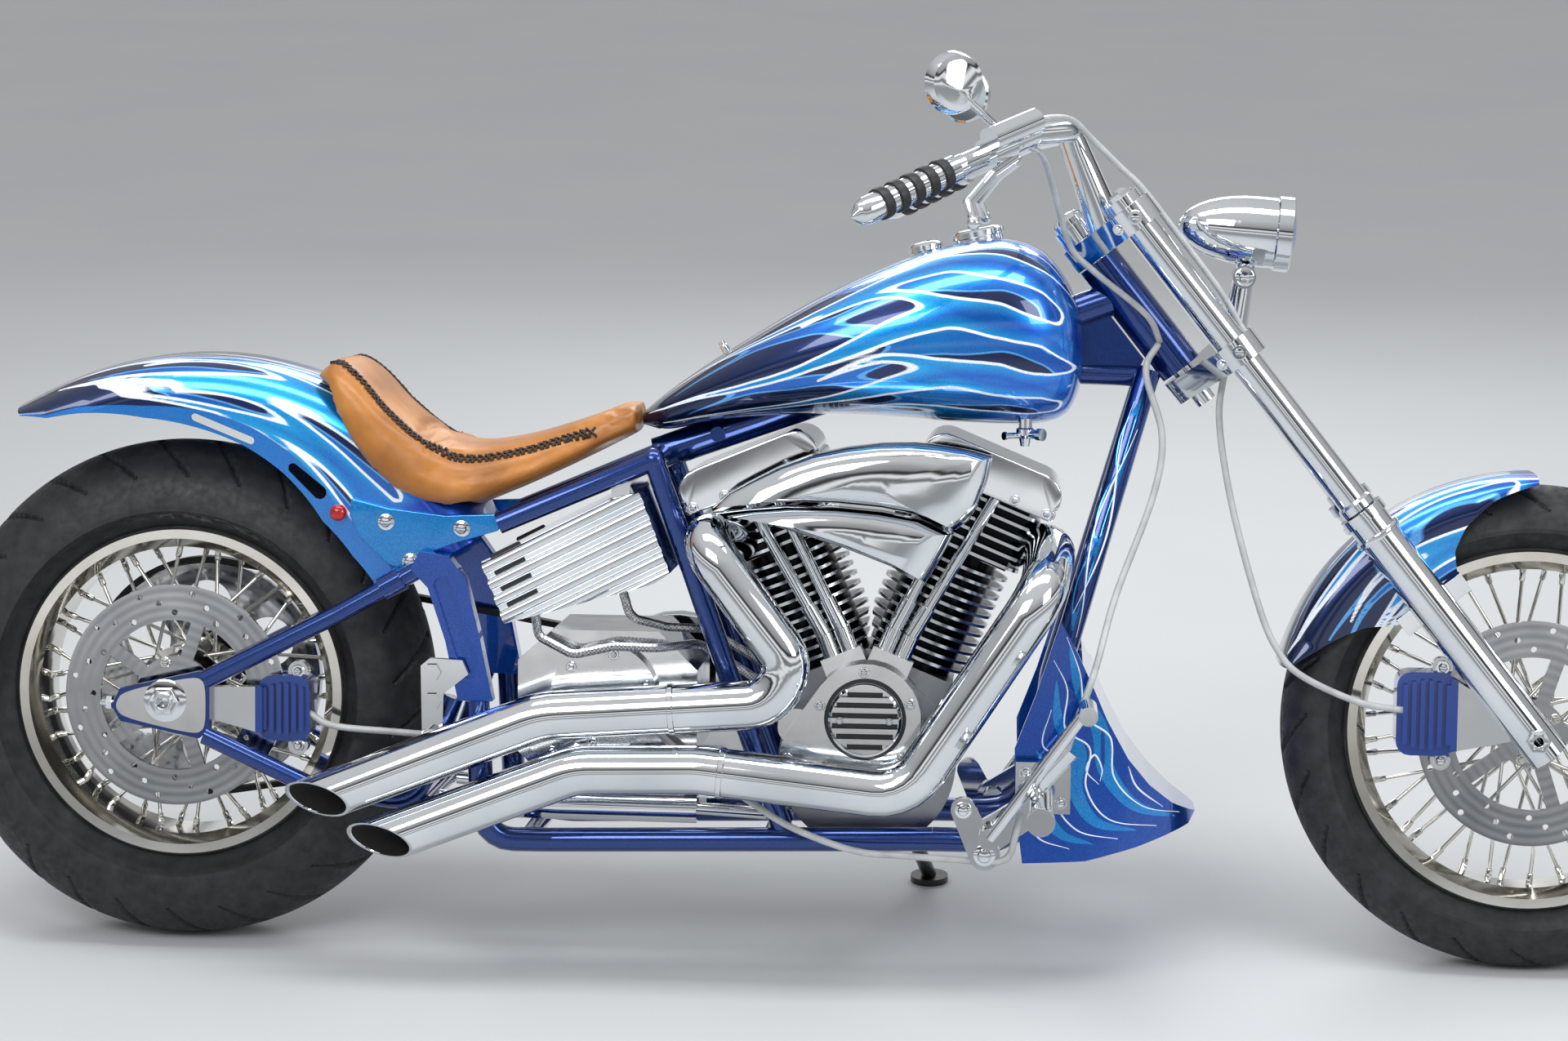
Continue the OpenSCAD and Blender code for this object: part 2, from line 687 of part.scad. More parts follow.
module pushrod_tubes() parked() color(chrome)
  for (side = [-1, 1], p = pushrods)
    cylinder_frame(side)
      stepped_tube([-side * p[0], -89, lifter_top], [-side * p[1], -86, head_top]);

// Tube with a wider spring cover over its lower end
module stepped_tube(p, q, r = 8, cover_r = 10.5, cover = 42) {
  along(p, q - p)
    rotate_extrude()
      polygon([[0, 0], [cover_r, 0], [cover_r, cover], [r, cover], [r, norm(q - p)], [0, norm(q - p)]]);
}

// Cam cover on the right with the lifter blocks, oil pump and round timer cover
timer = [crank_x, crank_z + 64];

module cam_cover() parked() color(chrome) difference() {
  union() {
    side_plate(link_outline(timer, 72, [crank_x - 50, crank_z + 14], 60), -126, -case_w - 0.2);
    side_plate(link_outline([crank_x - 90, crank_z + 50], 24, [crank_x - 60, crank_z + 40], 24),
      -112, -case_w - 0.2);
    for (side = [-1, 1])
      cylinder_frame(side)
        {
          translate([-side * 24 - 28, -102, deck_z - 40])
            cube([56, 26, 50]);
          for (p = pushrods)
            translate([-side * p[0], -89, deck_z])
              cylinder(h = lifter_top - deck_z, r = 11.6);
        }
    cross_rod(timer.x, timer.y, -142, -120, 44);
  }
  for (k = [-2.5:2.5])
    translate([timer.x - 50, -150, timer.y + k * 13.5 - 3.5])
      cube([100, 16, 7]);
}

// Carburettor between the cylinders with its manifold
module carburettor() parked() color("silver") {
  rod([860, -34, 602], [962, -34, 602], 21);
  cross_rod(crank_x, 602, -128, -34, 28);
  cross_rod(crank_x, 602, -150, -128, 36);
}

// Claw-shaped air cleaner: two lobes that sweep back to a point
claw_upper = [[714, 600], [735, 619], [759, 633], [797, 653], [837, 669], [885, 680], [931, 686], [972, 687],
  [1008, 684], [1044, 678], [1070, 671], [1064, 641], [1053, 610], [1041, 590], [1025, 578], [984, 595],
  [932, 605], [870, 610], [808, 610], [756, 605]];
claw_lower = [[715, 594], [756, 599], [807, 604], [870, 604], [932, 599], [984, 589], [1022, 572],
  [1013, 554], [1000, 530], [988, 510], [954, 525], [916, 540], [881, 553], [838, 566], [797, 578],
  [759, 587]];

function inset(outline, k) =
  let (n = len(outline), mid = [for (i = [0, 1]) [for (p = outline) p[i]] * [for (p = outline) 1 / n]])
  [for (p = outline) mid + (p - mid) * k];

function ring_at(outline, y) = [for (p = reverse(outline)) [p.x, y, p.y]];

// Lobe of the air cleaner: a short wall, then a smooth dome
module lobe(outline, depth) {
  loft(concat([ring_at(outline, -150), ring_at(outline, -150 - depth * 0.4)],
    [for (a = [15:15:75]) ring_at(inset(outline, pow(cos(a), 0.5)), -150 - depth * (0.4 + 0.6 * sin(a)))],
    [ring_at(inset(outline, 0.2), -150 - depth)]));
}

module air_cleaner() parked() color(chrome) {
  lobe(claw_upper, 58);
  lobe(claw_lower, 46);
}

// Gearbox with its round side cover
module transmission() parked() color("silver") {
  side_plate([[455, 270], [475, 250], [670, 250], [690, 270], [690, 380], [640, 430], [500, 430], [455, 390]],
    -92, 84);
  cross_rod(570, 345, -112, -92, 70);
  cross_rod(500, 300, -106, -92, 36);
  cross_rod(belt_front.x, belt_front.y, 84, belt_y0, 30);
  cross_rod(belt_front.x, belt_front.y, belt_y0, belt_y0 + belt_w, belt_front_r - 0.4);
  cross_rod(clutch.x + 25, clutch.y, 84, primary_y, 28);
}

// Primary cover on the left, from the crankshaft to the clutch
clutch = [640, 305];
primary_y = 132;

module primary_cover() parked() color(chrome) {
  side_plate(link_outline([crank_x, crank_z], 100, clutch, 122), primary_y, 178);
  side_plate(link_outline([crank_x, crank_z], 84, clutch, 106), 178, 188);
}

// Drive belt on the left, one fixed loop around the two pulleys
belt_front = [560, 330];
belt_front_r = 64;
pulley_r = 156;
belt_t = 8;
belt_y0 = 96;
belt_w = 20;

module drive_belt() parked() color(black) difference() {
  side_plate(link_outline([0, rear_axle_z], pulley_r + 0.6 + belt_t, belt_front, belt_front_r + belt_t, 40),
    belt_y0, belt_y0 + belt_w);
  side_plate(link_outline([0, rear_axle_z], pulley_r + 0.6, belt_front, belt_front_r, 40),
    belt_y0 - 1, belt_y0 + belt_w + 1);
}

// Exhaust pipes: swept round the engine to slash-cut mouths on the right
pipe_y = -190;
front_pipe = [[1108, -28, 548], [1147, -78, 546], [1137, pipe_y, 501], [967, pipe_y, 238], [700, pipe_y, 266],
  [545, pipe_y, 262], [240, pipe_y, 145]];
rear_pipe = [[736, -68, 550], [697, -185, 566], [820, pipe_y, 402], [790, pipe_y, 352], [500, pipe_y, 331],
  [155, pipe_y, 195]];
mouth_facing = [-0.4, -0.68, -0.62];

module exhaust(path, bends, mouth) {
  end = path[len(path) - 1];
  back = unit(end - path[len(path) - 2]);
  difference() {
    union() {
      swept_rod(path, pipe_d / 2, bends, 24);
      children();
    }
    rod(end - back * 170, end + back, pipe_d / 2 - 3);
    along(end - back * mouth, mouth_facing)
      translate([-150, -150, 0])
        cube(300);
  }
}

module front_exhaust() parked() color(chrome)
  exhaust(front_pipe, [40, 55, 70, 120, 120], 54);

// The rear pipe carries the hanger that bolts to the pivot casting
hanger = [353, 380];

module rear_exhaust() parked() color(chrome)
  exhaust(rear_pipe, [38, 40, 48, 140], 58) {
    side_plate([[338, 388], [350, 398], [392, 396], [400, 378], [368, 352], [366, 296], [340, 296]],
      -158, -148.2);
    cross_rod(hanger.x, hanger.y - 82, -178, -150, 11);
    cross_rod(hanger.x, hanger.y, -164, -150, 12, $fn = 6);
    cross_rod(hanger.x, hanger.y - 38, -164, -150, 12, $fn = 6);
  }

// Forward foot controls: pegs, brake pedal and master cylinder on the right, gear pedal on the left
peg = [1139, 227];
pedal_pivot = [1074, 184];
pedal_tip = [1196, 356];

module foot_controls() parked() color(chrome)
  for (s = [-1, 1]) {
    side_plate(link_outline(pedal_pivot, 22, peg, 20), s < 0 ? -158 : 144, s < 0 ? -144 : 158);
    cross_rod(peg.x, peg.y, s < 0 ? -290 : 150, s < 0 ? -150 : 290, 15);
    cross_rod(peg.x, peg.y, s < 0 ? -300 : 290, s < 0 ? -290 : 300, 18);
    cross_rod(pedal_pivot.x, pedal_pivot.y, s < 0 ? -188 : 131, s < 0 ? -131 : 188, 14);
    rod([pedal_pivot.x, s * 182, pedal_pivot.y], [pedal_tip.x, s * 196, pedal_tip.y], 8);
    cross_rod(pedal_tip.x, pedal_tip.y, s < 0 ? -270 : 188, s < 0 ? -188 : 270, 12);
    side_plate(link_outline([1068, 160], 20, [1040, 218], 16), s < 0 ? -168 : 156, s < 0 ? -156 : 168);
    if (s < 0) {
      translate([1106, -170, 216])
        cube([70, 25, 66]);
      rod([1120, -164, 240], [1172, -164, 300], 17);
    }
  }

// Oil hoses from the oil tank to the crankcase, behind the right seat post
hose_r = 6;
oil_hose_a = [[478, -100, 456], [484, -112, 424], [532, -125, 402], [584, -124, 414], [640, -118, 412],
  [692, -80, 415], [770, -72, 366], [820, -60, 341]];
oil_hose_b = [[590, -100, 494], [604, -110, 450], [650, -86, 436], [700, -72, 433], [775, -64, 388],
  [815, -54, 360]];

module oil_hoses() parked() color("gray") {
  swept_rod(oil_hose_a, hose_r, [18, 24, 40, 40, 30, 40], 8);
  swept_rod(oil_hose_b, hose_r, [20, 24, 30, 40], 8);
}

// Brake hoses to the two calipers
brake_hose_r = 4.5;
front_hose = [fork_point(-25, -60, tree_low + 6), fork_point(-72, -62, 565), fork_point(-126, -70, 467),
  fork_point(-177, -80, 344), fork_point(-192, -86, 285), fork_point(-187, -92, 240),
  fork_point(-150, -94, 170), fork_point(-112, -92, 128)];

module front_brake_hose() parked() color("gray")
  swept_rod(front_hose, brake_hose_r, [60, 90, 90, 40, 40, 60], 8);

rear_hose = [[180, -104, 316], [216, -110, 300], [300, -112, 294], [396, -108, 288], [430, -98, 288],
  [466, -86, 292]];

module rear_brake_hose() parked() color("gray")
  swept_rod(rear_hose, brake_hose_r, [20, 60, 40, 30], 8);

// Control cables: from the neck down to the right foot control, and on under the engine to the gearbox
upper_cable = [fork_point(-tree_offset - 2, -24, neck_low + 45), [1262, -54, 775], [1288, -62, 695],
  [1276, -72, 617], [1230, -102, 490], [1205, -150, 400], [1181, -163, 330], [1171, -164, 298]];
lower_cable = [[1114, -165, 222], [1108, -169, 190], [1094, -166, 150], [1030, -158, 152], [962, -156, 155],
  [900, -156, 160], [820, -156, 188], [760, -146, 222], [690, -124, 262], [622, -102, 316]];

module clutch_cable() parked() color("lightgray") {
  swept_rod(upper_cable, brake_hose_r, [16, 30, 60, 60, 40, 30], 6);
  swept_rod(lower_cable, brake_hose_r, [20, 20, 60, 60, 60, 60, 60, 60], 6);
}

// Rear brake caliper on the right axle plate
rear_caliper_at = [150, rear_axle_z - 11];

module rear_caliper() parked() color(blue) {
  translate([rear_caliper_at.x, 0, rear_caliper_at.y])
    caliper(68, 86, -121, -62, -87, -rear_caliper_at.x, rear_axle_z - rear_caliper_at.y);
  side_plate([for (p = [[50, -23], [124, -43], [124, 19], [50, 17]]) p + [0, rear_axle_z]], -127.9, -112);
}

// Fork: trees and stem, tubes, sliders
module tree_outline() {
  for (s = [-1, 1])
    translate([0, s * leg_y])
      circle(r = 32);
  translate([-tree_offset, 0])
    circle(r = 31);
  polygon([[-tree_offset - 18, -24], [-28, -leg_y - 16], [28, -leg_y + 10], [26, 0], [28, leg_y - 10],
    [-28, leg_y + 16], [-tree_offset - 18, 24]]);
}

module fork_trees() parked() color(chrome) fork_frame() {
  difference() {
    union() {
      for (z = [tree_low, tree_high])
        translate([0, 0, z])
          linear_extrude(tree_t)
            tree_outline();
      translate([-tree_offset, 0, tree_low - 18])
        cylinder(h = tree_high + tree_t + 42 - tree_low, r = stem_r);
      translate([-tree_offset, 0, tree_high + tree_t])
        cylinder(h = 24, r = 26);
    }
    for (s = [-1, 1])
      translate([0, s * leg_y, tree_low - 1])
        cylinder(h = 300, d = leg_d);
  }
}

module fork_tubes() parked() color(chrome) fork_frame()
  for (s = [-1, 1])
    translate([0, s * leg_y, 0]) {
      translate([0, 0, slider_top - 30])
        cylinder(h = tree_high + tree_t + 2 - slider_top + 30, d = leg_d);
      translate([0, 0, tree_high + tree_t])
        cylinder(h = 14, r = 24);
    }

lug_z = 213;

module fork_sliders() parked() color(chrome) fork_frame() difference() {
  for (s = [-1, 1]) {
    translate([0, s * leg_y, -30])
      cylinder(h = slider_top + 30, d = slider_d);
    translate([0, s * leg_y, slider_top - 14])
      cylinder(h = 14, d = slider_d + 6);
    translate([-48, s < 0 ? -leg_y + 6 : front_fender_w, lug_z - 13])
      cube([100, leg_y - 6 - front_fender_w, 26]);
  }
  for (s = [-1, 1])
    translate([0, s * leg_y, slider_top - 30])
      cylinder(h = 60, d = leg_d);
  rotate([90, 0, 0])
    cylinder(h = 400, r = 10, center = true);
}

// Hollow front axle with spacers and nuts
module front_axle() parked() color(chrome) difference() {
  union() {
    cross_rod(wheelbase, front_axle_z, -142, 142, 10);
    for (s = [-1, 1]) {
      cross_rod(wheelbase, front_axle_z, s < 0 ? -leg_y + 28 : 67, s < 0 ? -73 : leg_y - 28, 14);
      translate([wheelbase, s * 137, front_axle_z])
        rotate([90, 0, 0])
          cylinder(h = 10, r = 16, center = true, $fn = 6);
    }
  }
  cross_rod(wheelbase, front_axle_z, -200, 200, 6);
}

// Handlebar on two tapered pull-back risers
bar_mid = fork_point(1, 0, tree_high + tree_t + 121);
bar_path = [for (p = [[0, 0, 0], [0, 95, 0], [-48, 225, -8], [-131, 310, -46], [-241, 400, -101]])
  bar_mid + p];
riser_foot = [-35, 45, tree_high + tree_t];

module handlebar() parked() color(chrome) difference() {
  for (s = [-1, 1]) {
    jointed_rod([for (p = bar_path) flip(p, s)], bar_d / 2);
    foot = fork_point(riser_foot.x, s * riser_foot.y, riser_foot.z - 6);
    top = bar_mid + [0, s * 60, 0];
    along(foot, top - foot)
      cylinder(h = norm(top - foot), r1 = 25, r2 = 17);
  }
  fork_frame()
    translate([-200, -200, tree_high - 30])
      cube([400, 400, tree_t + 30]);
}

// Grips with rubber bands and pointed ends
grip_start = bar_path[3] + unit(bar_path[4] - bar_path[3]) * 12;
grip_dir = unit(bar_path[4] - bar_path[3]);
grip_len = 150;

module grips() parked() color(black)
  for (s = [-1, 1])
    along(flip(grip_start, s), flip(grip_dir, s))
      difference() {
        rotate_extrude()
          polygon(concat([[0, 0], [17, 0]],
            [for (k = [0:4]) let (z = 14 + k * 24) each [[17, z], [19, z + 1], [19, z + 13], [17, z + 14]]],
            [[17, grip_len - 8], [14, grip_len + 4], [0, grip_len + 18]]));
        translate([0, 0, -1])
          cylinder(h = norm(bar_path[4] - bar_path[3]) - 12 + 1.2, d = bar_d + 0.2);
      }

// Perches, levers and mirrors on the bar
perch = (bar_path[2] + bar_path[3]) / 2;
perch_dir = unit(bar_path[3] - bar_path[2]);
lever_path = [for (p = [[-68, 262, -37], [-94, 318, -57], [-122, 362, -91], [-114, 388, -115]]) bar_mid + p];
mirror_at = bar_mid + [-141, 300, 54];

module bar_controls() parked() color(chrome) difference() {
  for (s = [-1, 1]) {
    along(flip(perch - perch_dir * 20, s), flip(perch_dir, s))
      cylinder(h = 40, r = 20);
    along(flip(perch - perch_dir * 44 + [18, 0, 24], s), flip(perch_dir, s))
      cylinder(h = 84, r = 16);
    jointed_rod([for (p = lever_path) flip(p, s)], 6);
    translate(flip(lever_path[3], s))
      sphere(r = 9);
    rod(flip(perch + [10, 0, 20], s), flip(mirror_at + [4, 6, -10], s), 5);
    along(flip(mirror_at, s), flip([-0.5, -0.86, 0.05], s))
      rotate_extrude()
        polygon([[0, -12], [26, -12], [34, -9], [37, -3], [39, 6], [36, 7], [36, 5], [0, 5]]);
  }
  for (s = [-1, 1])
    jointed_rod([for (p = bar_path) flip(p, s)], bar_d / 2 + 0.1);
}

// Headlamp: chrome bullet with a bracket down to the lower tree, and its lens
lamp_rear = fork_point(41, 0, tree_high - 28);
lamp_front = fork_point(148, 0, tree_high - 129);
lamp_foot = fork_point(12, 0, tree_low + tree_t);
lamp_r = 46;
lamp_len = norm(lamp_front - lamp_rear);

module headlamp() parked() color(chrome) {
  along(lamp_rear, lamp_front - lamp_rear)
    difference() {
      rotate_extrude()
        polygon(concat([for (a = [0:10:90]) [lamp_r * sin(a), 100 - 100 * cos(a)]],
          [[lamp_r, lamp_len - 22], [lamp_r + 3, lamp_len - 20], [lamp_r + 3, lamp_len - 2],
          [lamp_r, lamp_len], [0, lamp_len]]));
      translate([0, 0, lamp_len - 10])
        cylinder(h = 20, r = lamp_r - 3);
    }
  along(lamp_foot, fork_point(82, 0, tree_high - 120) - lamp_foot)
    cylinder(h = 96, r1 = 17, r2 = 12);
  translate(fork_point(66, 0, tree_low + tree_t + 50))
    rotate([90, 0, 0])
      cylinder(h = 46, r = 15, center = true);
}

module headlamp_lens() parked() color("lightcyan")
  along(lamp_rear, lamp_front - lamp_rear)
    translate([0, 0, lamp_len - 10])
      rotate_extrude()
        polygon([[0, 0], [lamp_r - 3.2, 0], [lamp_r - 3.2, 7], [30, 12], [16, 14.5], [0, 15.5]]);

// Front fender: columns are angle from the vertical and the skirt's lower radius
front_skirt = [[-76, 322], [-70, 296], [-64, 274], [-58, 252], [-53, 226], [-50, 218], [-28, 218], [-26, 228],
  [-24, 256], [-19, 280], [-10, 306], [0, 322]];

module front_fender() parked() color(blue)
  fender([wheelbase, front_axle_z], front_fender_r, front_fender_w, 40, front_skirt, 38);

// Front brake caliper behind the right slider
front_caliper_at = [wheelbase - 137, front_axle_z + 26];

module front_caliper() parked() color(blue) {
  translate([front_caliper_at.x, 0, front_caliper_at.y])
    caliper(76, 108, -100, -46, -69, wheelbase - front_caliper_at.x, front_axle_z - front_caliper_at.y);
  side_plate([for (p = [[-107, -22], [-29, -6], [-71, 54], [-107, 74]]) p + [wheelbase, front_axle_z]],
    -100, -84);
}

// Wheels
module front_tyre() parked() color(black) translate([wheelbase, 0, front_axle_z])
  tyre(front_r, front_w, front_rim_r, 88);

module front_wire_wheel() parked() color(chrome) translate([wheelbase, 0, front_axle_z])
  wire_wheel(front_rim_r, 88, 28, 44, 34, 66, 66, 10.05);

module front_disc() parked() color("silver") translate([wheelbase, 0, front_axle_z])
  brake_disc(-72, 6, 44, 16);

module rear_tyre() parked() color(black) translate([0, 0, rear_axle_z])
  tyre(rear_r, rear_w, rear_rim_r, 122);

module rear_wire_wheel() parked() color(chrome) translate([0, 0, rear_axle_z])
  wire_wheel(rear_rim_r, 122, 42, 60, 46, belt_y0, 84, 12.55);

module rear_disc() parked() color("silver") translate([0, 0, rear_axle_z])
  brake_disc(-90, 6, 52, 20);

module rear_pulley() parked() color("silver") translate([0, 0, rear_axle_z])
  difference() {
    cross_rod(0, 0, belt_y0, belt_y0 + belt_w, pulley_r, $fn = 96);
    cross_rod(0, 0, belt_y0 - 1, belt_y0 + belt_w + 1, 20);
    for (k = [0:5])
      rotate([0, 60 * k, 0])
        cross_rod(0, 98, belt_y0 - 1, belt_y0 + belt_w + 1, 34);
  }

// Side stand on the left, swung out with its foot flat on the ground
stand_foot = [985, 268, 268 * tan(lean)];

module side_stand() parked() color(black) difference() {
  union() {
    rod(stand_pivot - stand_axis * 10, stand_pivot + stand_axis * 10, 16);
    rod(stand_pivot, stand_foot + [0, 0, 8], 10);
    translate(stand_foot)
      rotate([lean, 0, 0])
        cylinder(h = 9, r = 26);
  }
  rod(stand_pivot - stand_axis * 30, stand_pivot + stand_axis * 30, 6.05);
  translate(stand_foot)
    rotate([lean, 0, 0])
      translate([0, 0, -40])
        cylinder(h = 40, r = 60);
}

frame_backbone();
frame_downtubes();
frame_lower_rails();
frame_seat_rails();
chin_spoiler();
pivot_castings();
swingarm();
swingarm_bridge();
rear_axle();
shock_absorbers();
fuel_tank();
tank_console();
seat();
rear_fender();
fender_struts();
marker_lamps();
oil_tank();
crankcase();
cylinders();
rocker_boxes();
pushrod_tubes();
cam_cover();
air_cleaner();
carburettor();
transmission();
primary_cover();
drive_belt();
front_exhaust();
rear_exhaust();
foot_controls();
rear_caliper();
fork_trees();
fork_tubes();
fork_sliders();
handlebar();
grips();
bar_controls();
headlamp();
headlamp_lens();
front_fender();
front_caliper();
front_axle();
front_tyre();
front_wire_wheel();
front_disc();
rear_tyre();
rear_wire_wheel();
rear_disc();
rear_pulley();
side_stand();
oil_hoses();
front_brake_hose();
rear_brake_hose();
clutch_cable();
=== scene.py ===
# %% [markdown]
# # A raked V-twin cruiser in paint, chrome and leather
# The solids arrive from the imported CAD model, already in place. This lesson dresses them: it gives each node a
# real finish, and builds new pieces where a solid is too plain, such as the tank skin with its flames, the padded
# seat and the grooved tyres. Every piece is in metres in the same frame, so nothing has to be fitted by eye.

# %% Load the frame
import math

import bmesh
import bpy
import numpy as np
from mathutils import Matrix, Vector
from mathutils.bvhtree import BVHTree


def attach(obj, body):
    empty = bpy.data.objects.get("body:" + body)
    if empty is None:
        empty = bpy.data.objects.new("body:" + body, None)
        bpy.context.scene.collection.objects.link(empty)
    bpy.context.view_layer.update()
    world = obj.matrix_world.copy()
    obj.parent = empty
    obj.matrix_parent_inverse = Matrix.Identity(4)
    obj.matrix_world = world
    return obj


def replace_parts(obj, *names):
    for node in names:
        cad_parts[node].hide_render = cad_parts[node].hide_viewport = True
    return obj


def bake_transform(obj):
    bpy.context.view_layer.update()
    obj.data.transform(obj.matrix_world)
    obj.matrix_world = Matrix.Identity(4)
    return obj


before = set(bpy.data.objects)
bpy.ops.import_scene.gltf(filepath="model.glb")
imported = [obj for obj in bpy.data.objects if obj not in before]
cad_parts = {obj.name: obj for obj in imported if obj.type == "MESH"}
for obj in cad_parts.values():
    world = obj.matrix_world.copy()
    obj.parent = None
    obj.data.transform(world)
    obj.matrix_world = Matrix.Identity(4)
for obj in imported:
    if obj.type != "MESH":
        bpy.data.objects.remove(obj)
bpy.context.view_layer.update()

# %% [markdown]
# The motorcycle is designed upright, with the rear axle at x = 0 and the road at z = 0, in millimetres. It parks
# with a lean of 9 degrees on its side stand. One matrix does that, so all the pieces below can be drawn upright.

# %% From the upright drawing to the parked place
LEAN = math.radians(9)
PARK = Matrix.Scale(0.001, 4) @ Matrix.Translation((-876, -152, 0)) @ Matrix.Rotation(-LEAN, 4, "X")
UPRIGHT = PARK.inverted()
WHEELBASE = 1767
REAR_AXLE = Vector((0, 0, 333.1))
FRONT_AXLE = Vector((WHEELBASE, 0, 317.8))
RAKE = math.radians(38.5)
CRANK = Vector((911, 0, 262))
VEE = math.radians(22.5)
TIMER = Vector((911, -126, 326))
RIGHT, LEFT = (0, -1, 0), (0, 1, 0)
print("front axle parks at", [round(c, 3) for c in PARK @ FRONT_AXLE])


def fork_point(x, y, z):
    """A point of the fork: z runs up the legs from the front axle, x points forward across them."""
    return FRONT_AXLE + Vector((x * math.cos(RAKE) - z * math.sin(RAKE), y,
                                x * math.sin(RAKE) + z * math.cos(RAKE)))


# %% [markdown]
# ## Camera, floor and light
# The camera stands on the right, a little above the tank and far away, as a long lens does for a vehicle portrait.
# Chrome shows only what surrounds it, so the world is a studio with a bright ceiling and a darker wall line: a
# plain white world would leave the pipes looking like paper.

# %% Camera
camera_data = bpy.data.cameras.new("portrait_camera")
camera = bpy.data.objects.new("portrait_camera", camera_data)
bpy.context.scene.collection.objects.link(camera)
bpy.context.scene.camera = camera
FOCAL_PX, FRAME_PX = 4467.9, 1920
camera_data.sensor_width = 36
camera_data.lens = FOCAL_PX / FRAME_PX * camera_data.sensor_width
yaw, pitch = math.radians(4.2), math.radians(14.24)
back = Vector((math.sin(yaw) * math.cos(pitch), -math.cos(yaw) * math.cos(pitch), math.sin(pitch)))
camera.location = (0.2599, -4.7151, 1.7467)
camera.rotation_euler = (-back).to_track_quat("-Z", "Y").to_euler()
print("lens", round(camera_data.lens, 1), "mm")


# %% Helpers for nodes and colours
def linear(code):
    """An sRGB hex colour as linear RGBA."""
    parts = [int(code[i:i + 2], 16) / 255 for i in (1, 3, 5)]
    return tuple(c / 12.92 if c <= 0.04045 else ((c + 0.055) / 1.055) ** 2.4 for c in parts) + (1.0,)


def link(node, socket, source):
    """Joins an output, or a node's first output, to a socket."""
    if isinstance(source, bpy.types.Node):
        source = source.outputs[0]
    node.id_data.links.new(source, node.inputs[socket])


def add(tree, kind, inputs=None, **settings):
    """Adds a shader node. Settings are its properties, inputs its sockets, each a value, a node or an output."""
    made = tree.nodes.new("ShaderNode" + kind)
    for key, value in settings.items():
        setattr(made, key, value)
    for socket, value in (inputs or {}).items():
        if isinstance(value, (bpy.types.NodeSocket, bpy.types.Node)):
            link(made, socket, value)
        else:
            made.inputs[socket].default_value = value
    return made


def set_stops(ramp, stops):
    """Gives a colour ramp its stops, as pairs of a place and a hex colour or a grey level."""
    elements = ramp.color_ramp.elements
    while len(elements) > 1:
        elements.remove(elements[-1])
    for k, (place, colour) in enumerate(stops):
        stop = elements[0] if k == 0 else elements.new(place)
        stop.position = place
        stop.color = linear(colour) if isinstance(colour, str) else (colour, colour, colour, 1.0)
    return ramp


# %% Studio
scene = bpy.context.scene
scene.view_settings.view_transform = "Standard"
world = bpy.data.worlds.new("studio")
scene.world = world
world.use_nodes = True
studio = world.node_tree
studio.nodes.clear()
direction = add(studio, "TexCoord")
height = add(studio, "SeparateXYZ", {"Vector": direction.outputs["Generated"]})
tone = add(studio, "MapRange", {"Value": height.outputs["Z"], "From Min": -1.0, "From Max": 1.0})
walls = set_stops(add(studio, "ValToRGB", {"Fac": tone}), [
    (0.0, 0.35), (0.495, 0.4), (0.505, 0.5), (0.516, 0.95), (0.532, 0.95), (0.545, 0.32), (0.558, 0.2),
    (0.568, 0.3), (0.585, 0.95), (0.605, 0.95), (0.63, 0.05), (0.65, 0.05), (0.68, 0.35), (0.76, 0.5),
    (0.85, 0.66), (1.0, 0.72)])
shine = add(studio, "Background", {"Color": walls, "Strength": 1.0})
add(studio, "OutputWorld", {"Surface": shine})

floor_mesh = bpy.data.meshes.new("studio_floor")
floor_mesh.from_pydata([(-30, -30, 0), (30, -30, 0), (30, 30, 0), (-30, 30, 0)], [], [(0, 1, 2, 3)])
floor = bpy.data.objects.new("studio_floor", floor_mesh)
scene.collection.objects.link(floor)
concrete = bpy.data.materials.new("sealed_concrete")
concrete.use_nodes = True
tree = concrete.node_tree
place = add(tree, "TexCoord")
cloud = add(tree, "TexNoise", {"Vector": place.outputs["Object"], "Scale": 1.6, "Detail": 2.0})
pale = set_stops(add(tree, "ValToRGB", {"Fac": cloud.outputs["Fac"]}),
                 [(0.3, "#C2C5C8"), (0.7, "#C5C8CA")])
shader = tree.nodes["Principled BSDF"]
link(shader, "Base Color", pale)
shader.inputs["Roughness"].default_value = 0.75
floor_mesh.materials.append(concrete)

for name, place_at, aim, size, power in [
        ("key_softbox", (-1.6, -3.6, 3.4), (0.0, 0.0, 0.5), (2.6, 1.6), 85),
        ("front_softbox", (3.2, -2.2, 2.4), (0.4, 0.0, 0.5), (1.6, 1.6), 45),
        ("long_overhead", (0.1, -0.5, 3.4), (0.1, 0.0, 0.4), (3.6, 0.8), 60),
        ("back_softbox", (0.3, 3.4, 2.6), (0.0, 0.0, 0.6), (3.0, 1.2), 55)]:
    lamp = bpy.data.lights.new(name, "AREA")
    lamp.shape = "RECTANGLE"
    lamp.size, lamp.size_y = size
    lamp.energy = power
    holder = bpy.data.objects.new(name, lamp)
    holder.location = place_at
    holder.rotation_euler = (Vector(aim) - Vector(place_at)).to_track_quat("-Z", "Y").to_euler()
    scene.collection.objects.link(holder)

# %% [markdown]
# ## Finishes
# Each finish starts from what the real surface is. Mesh coordinates are metres, so a pattern of so many
# millimetres has a scale of about 1000 divided by that size. Patterns finer than a pixel of the picture are drawn
# a little coarser, and the comment says so.


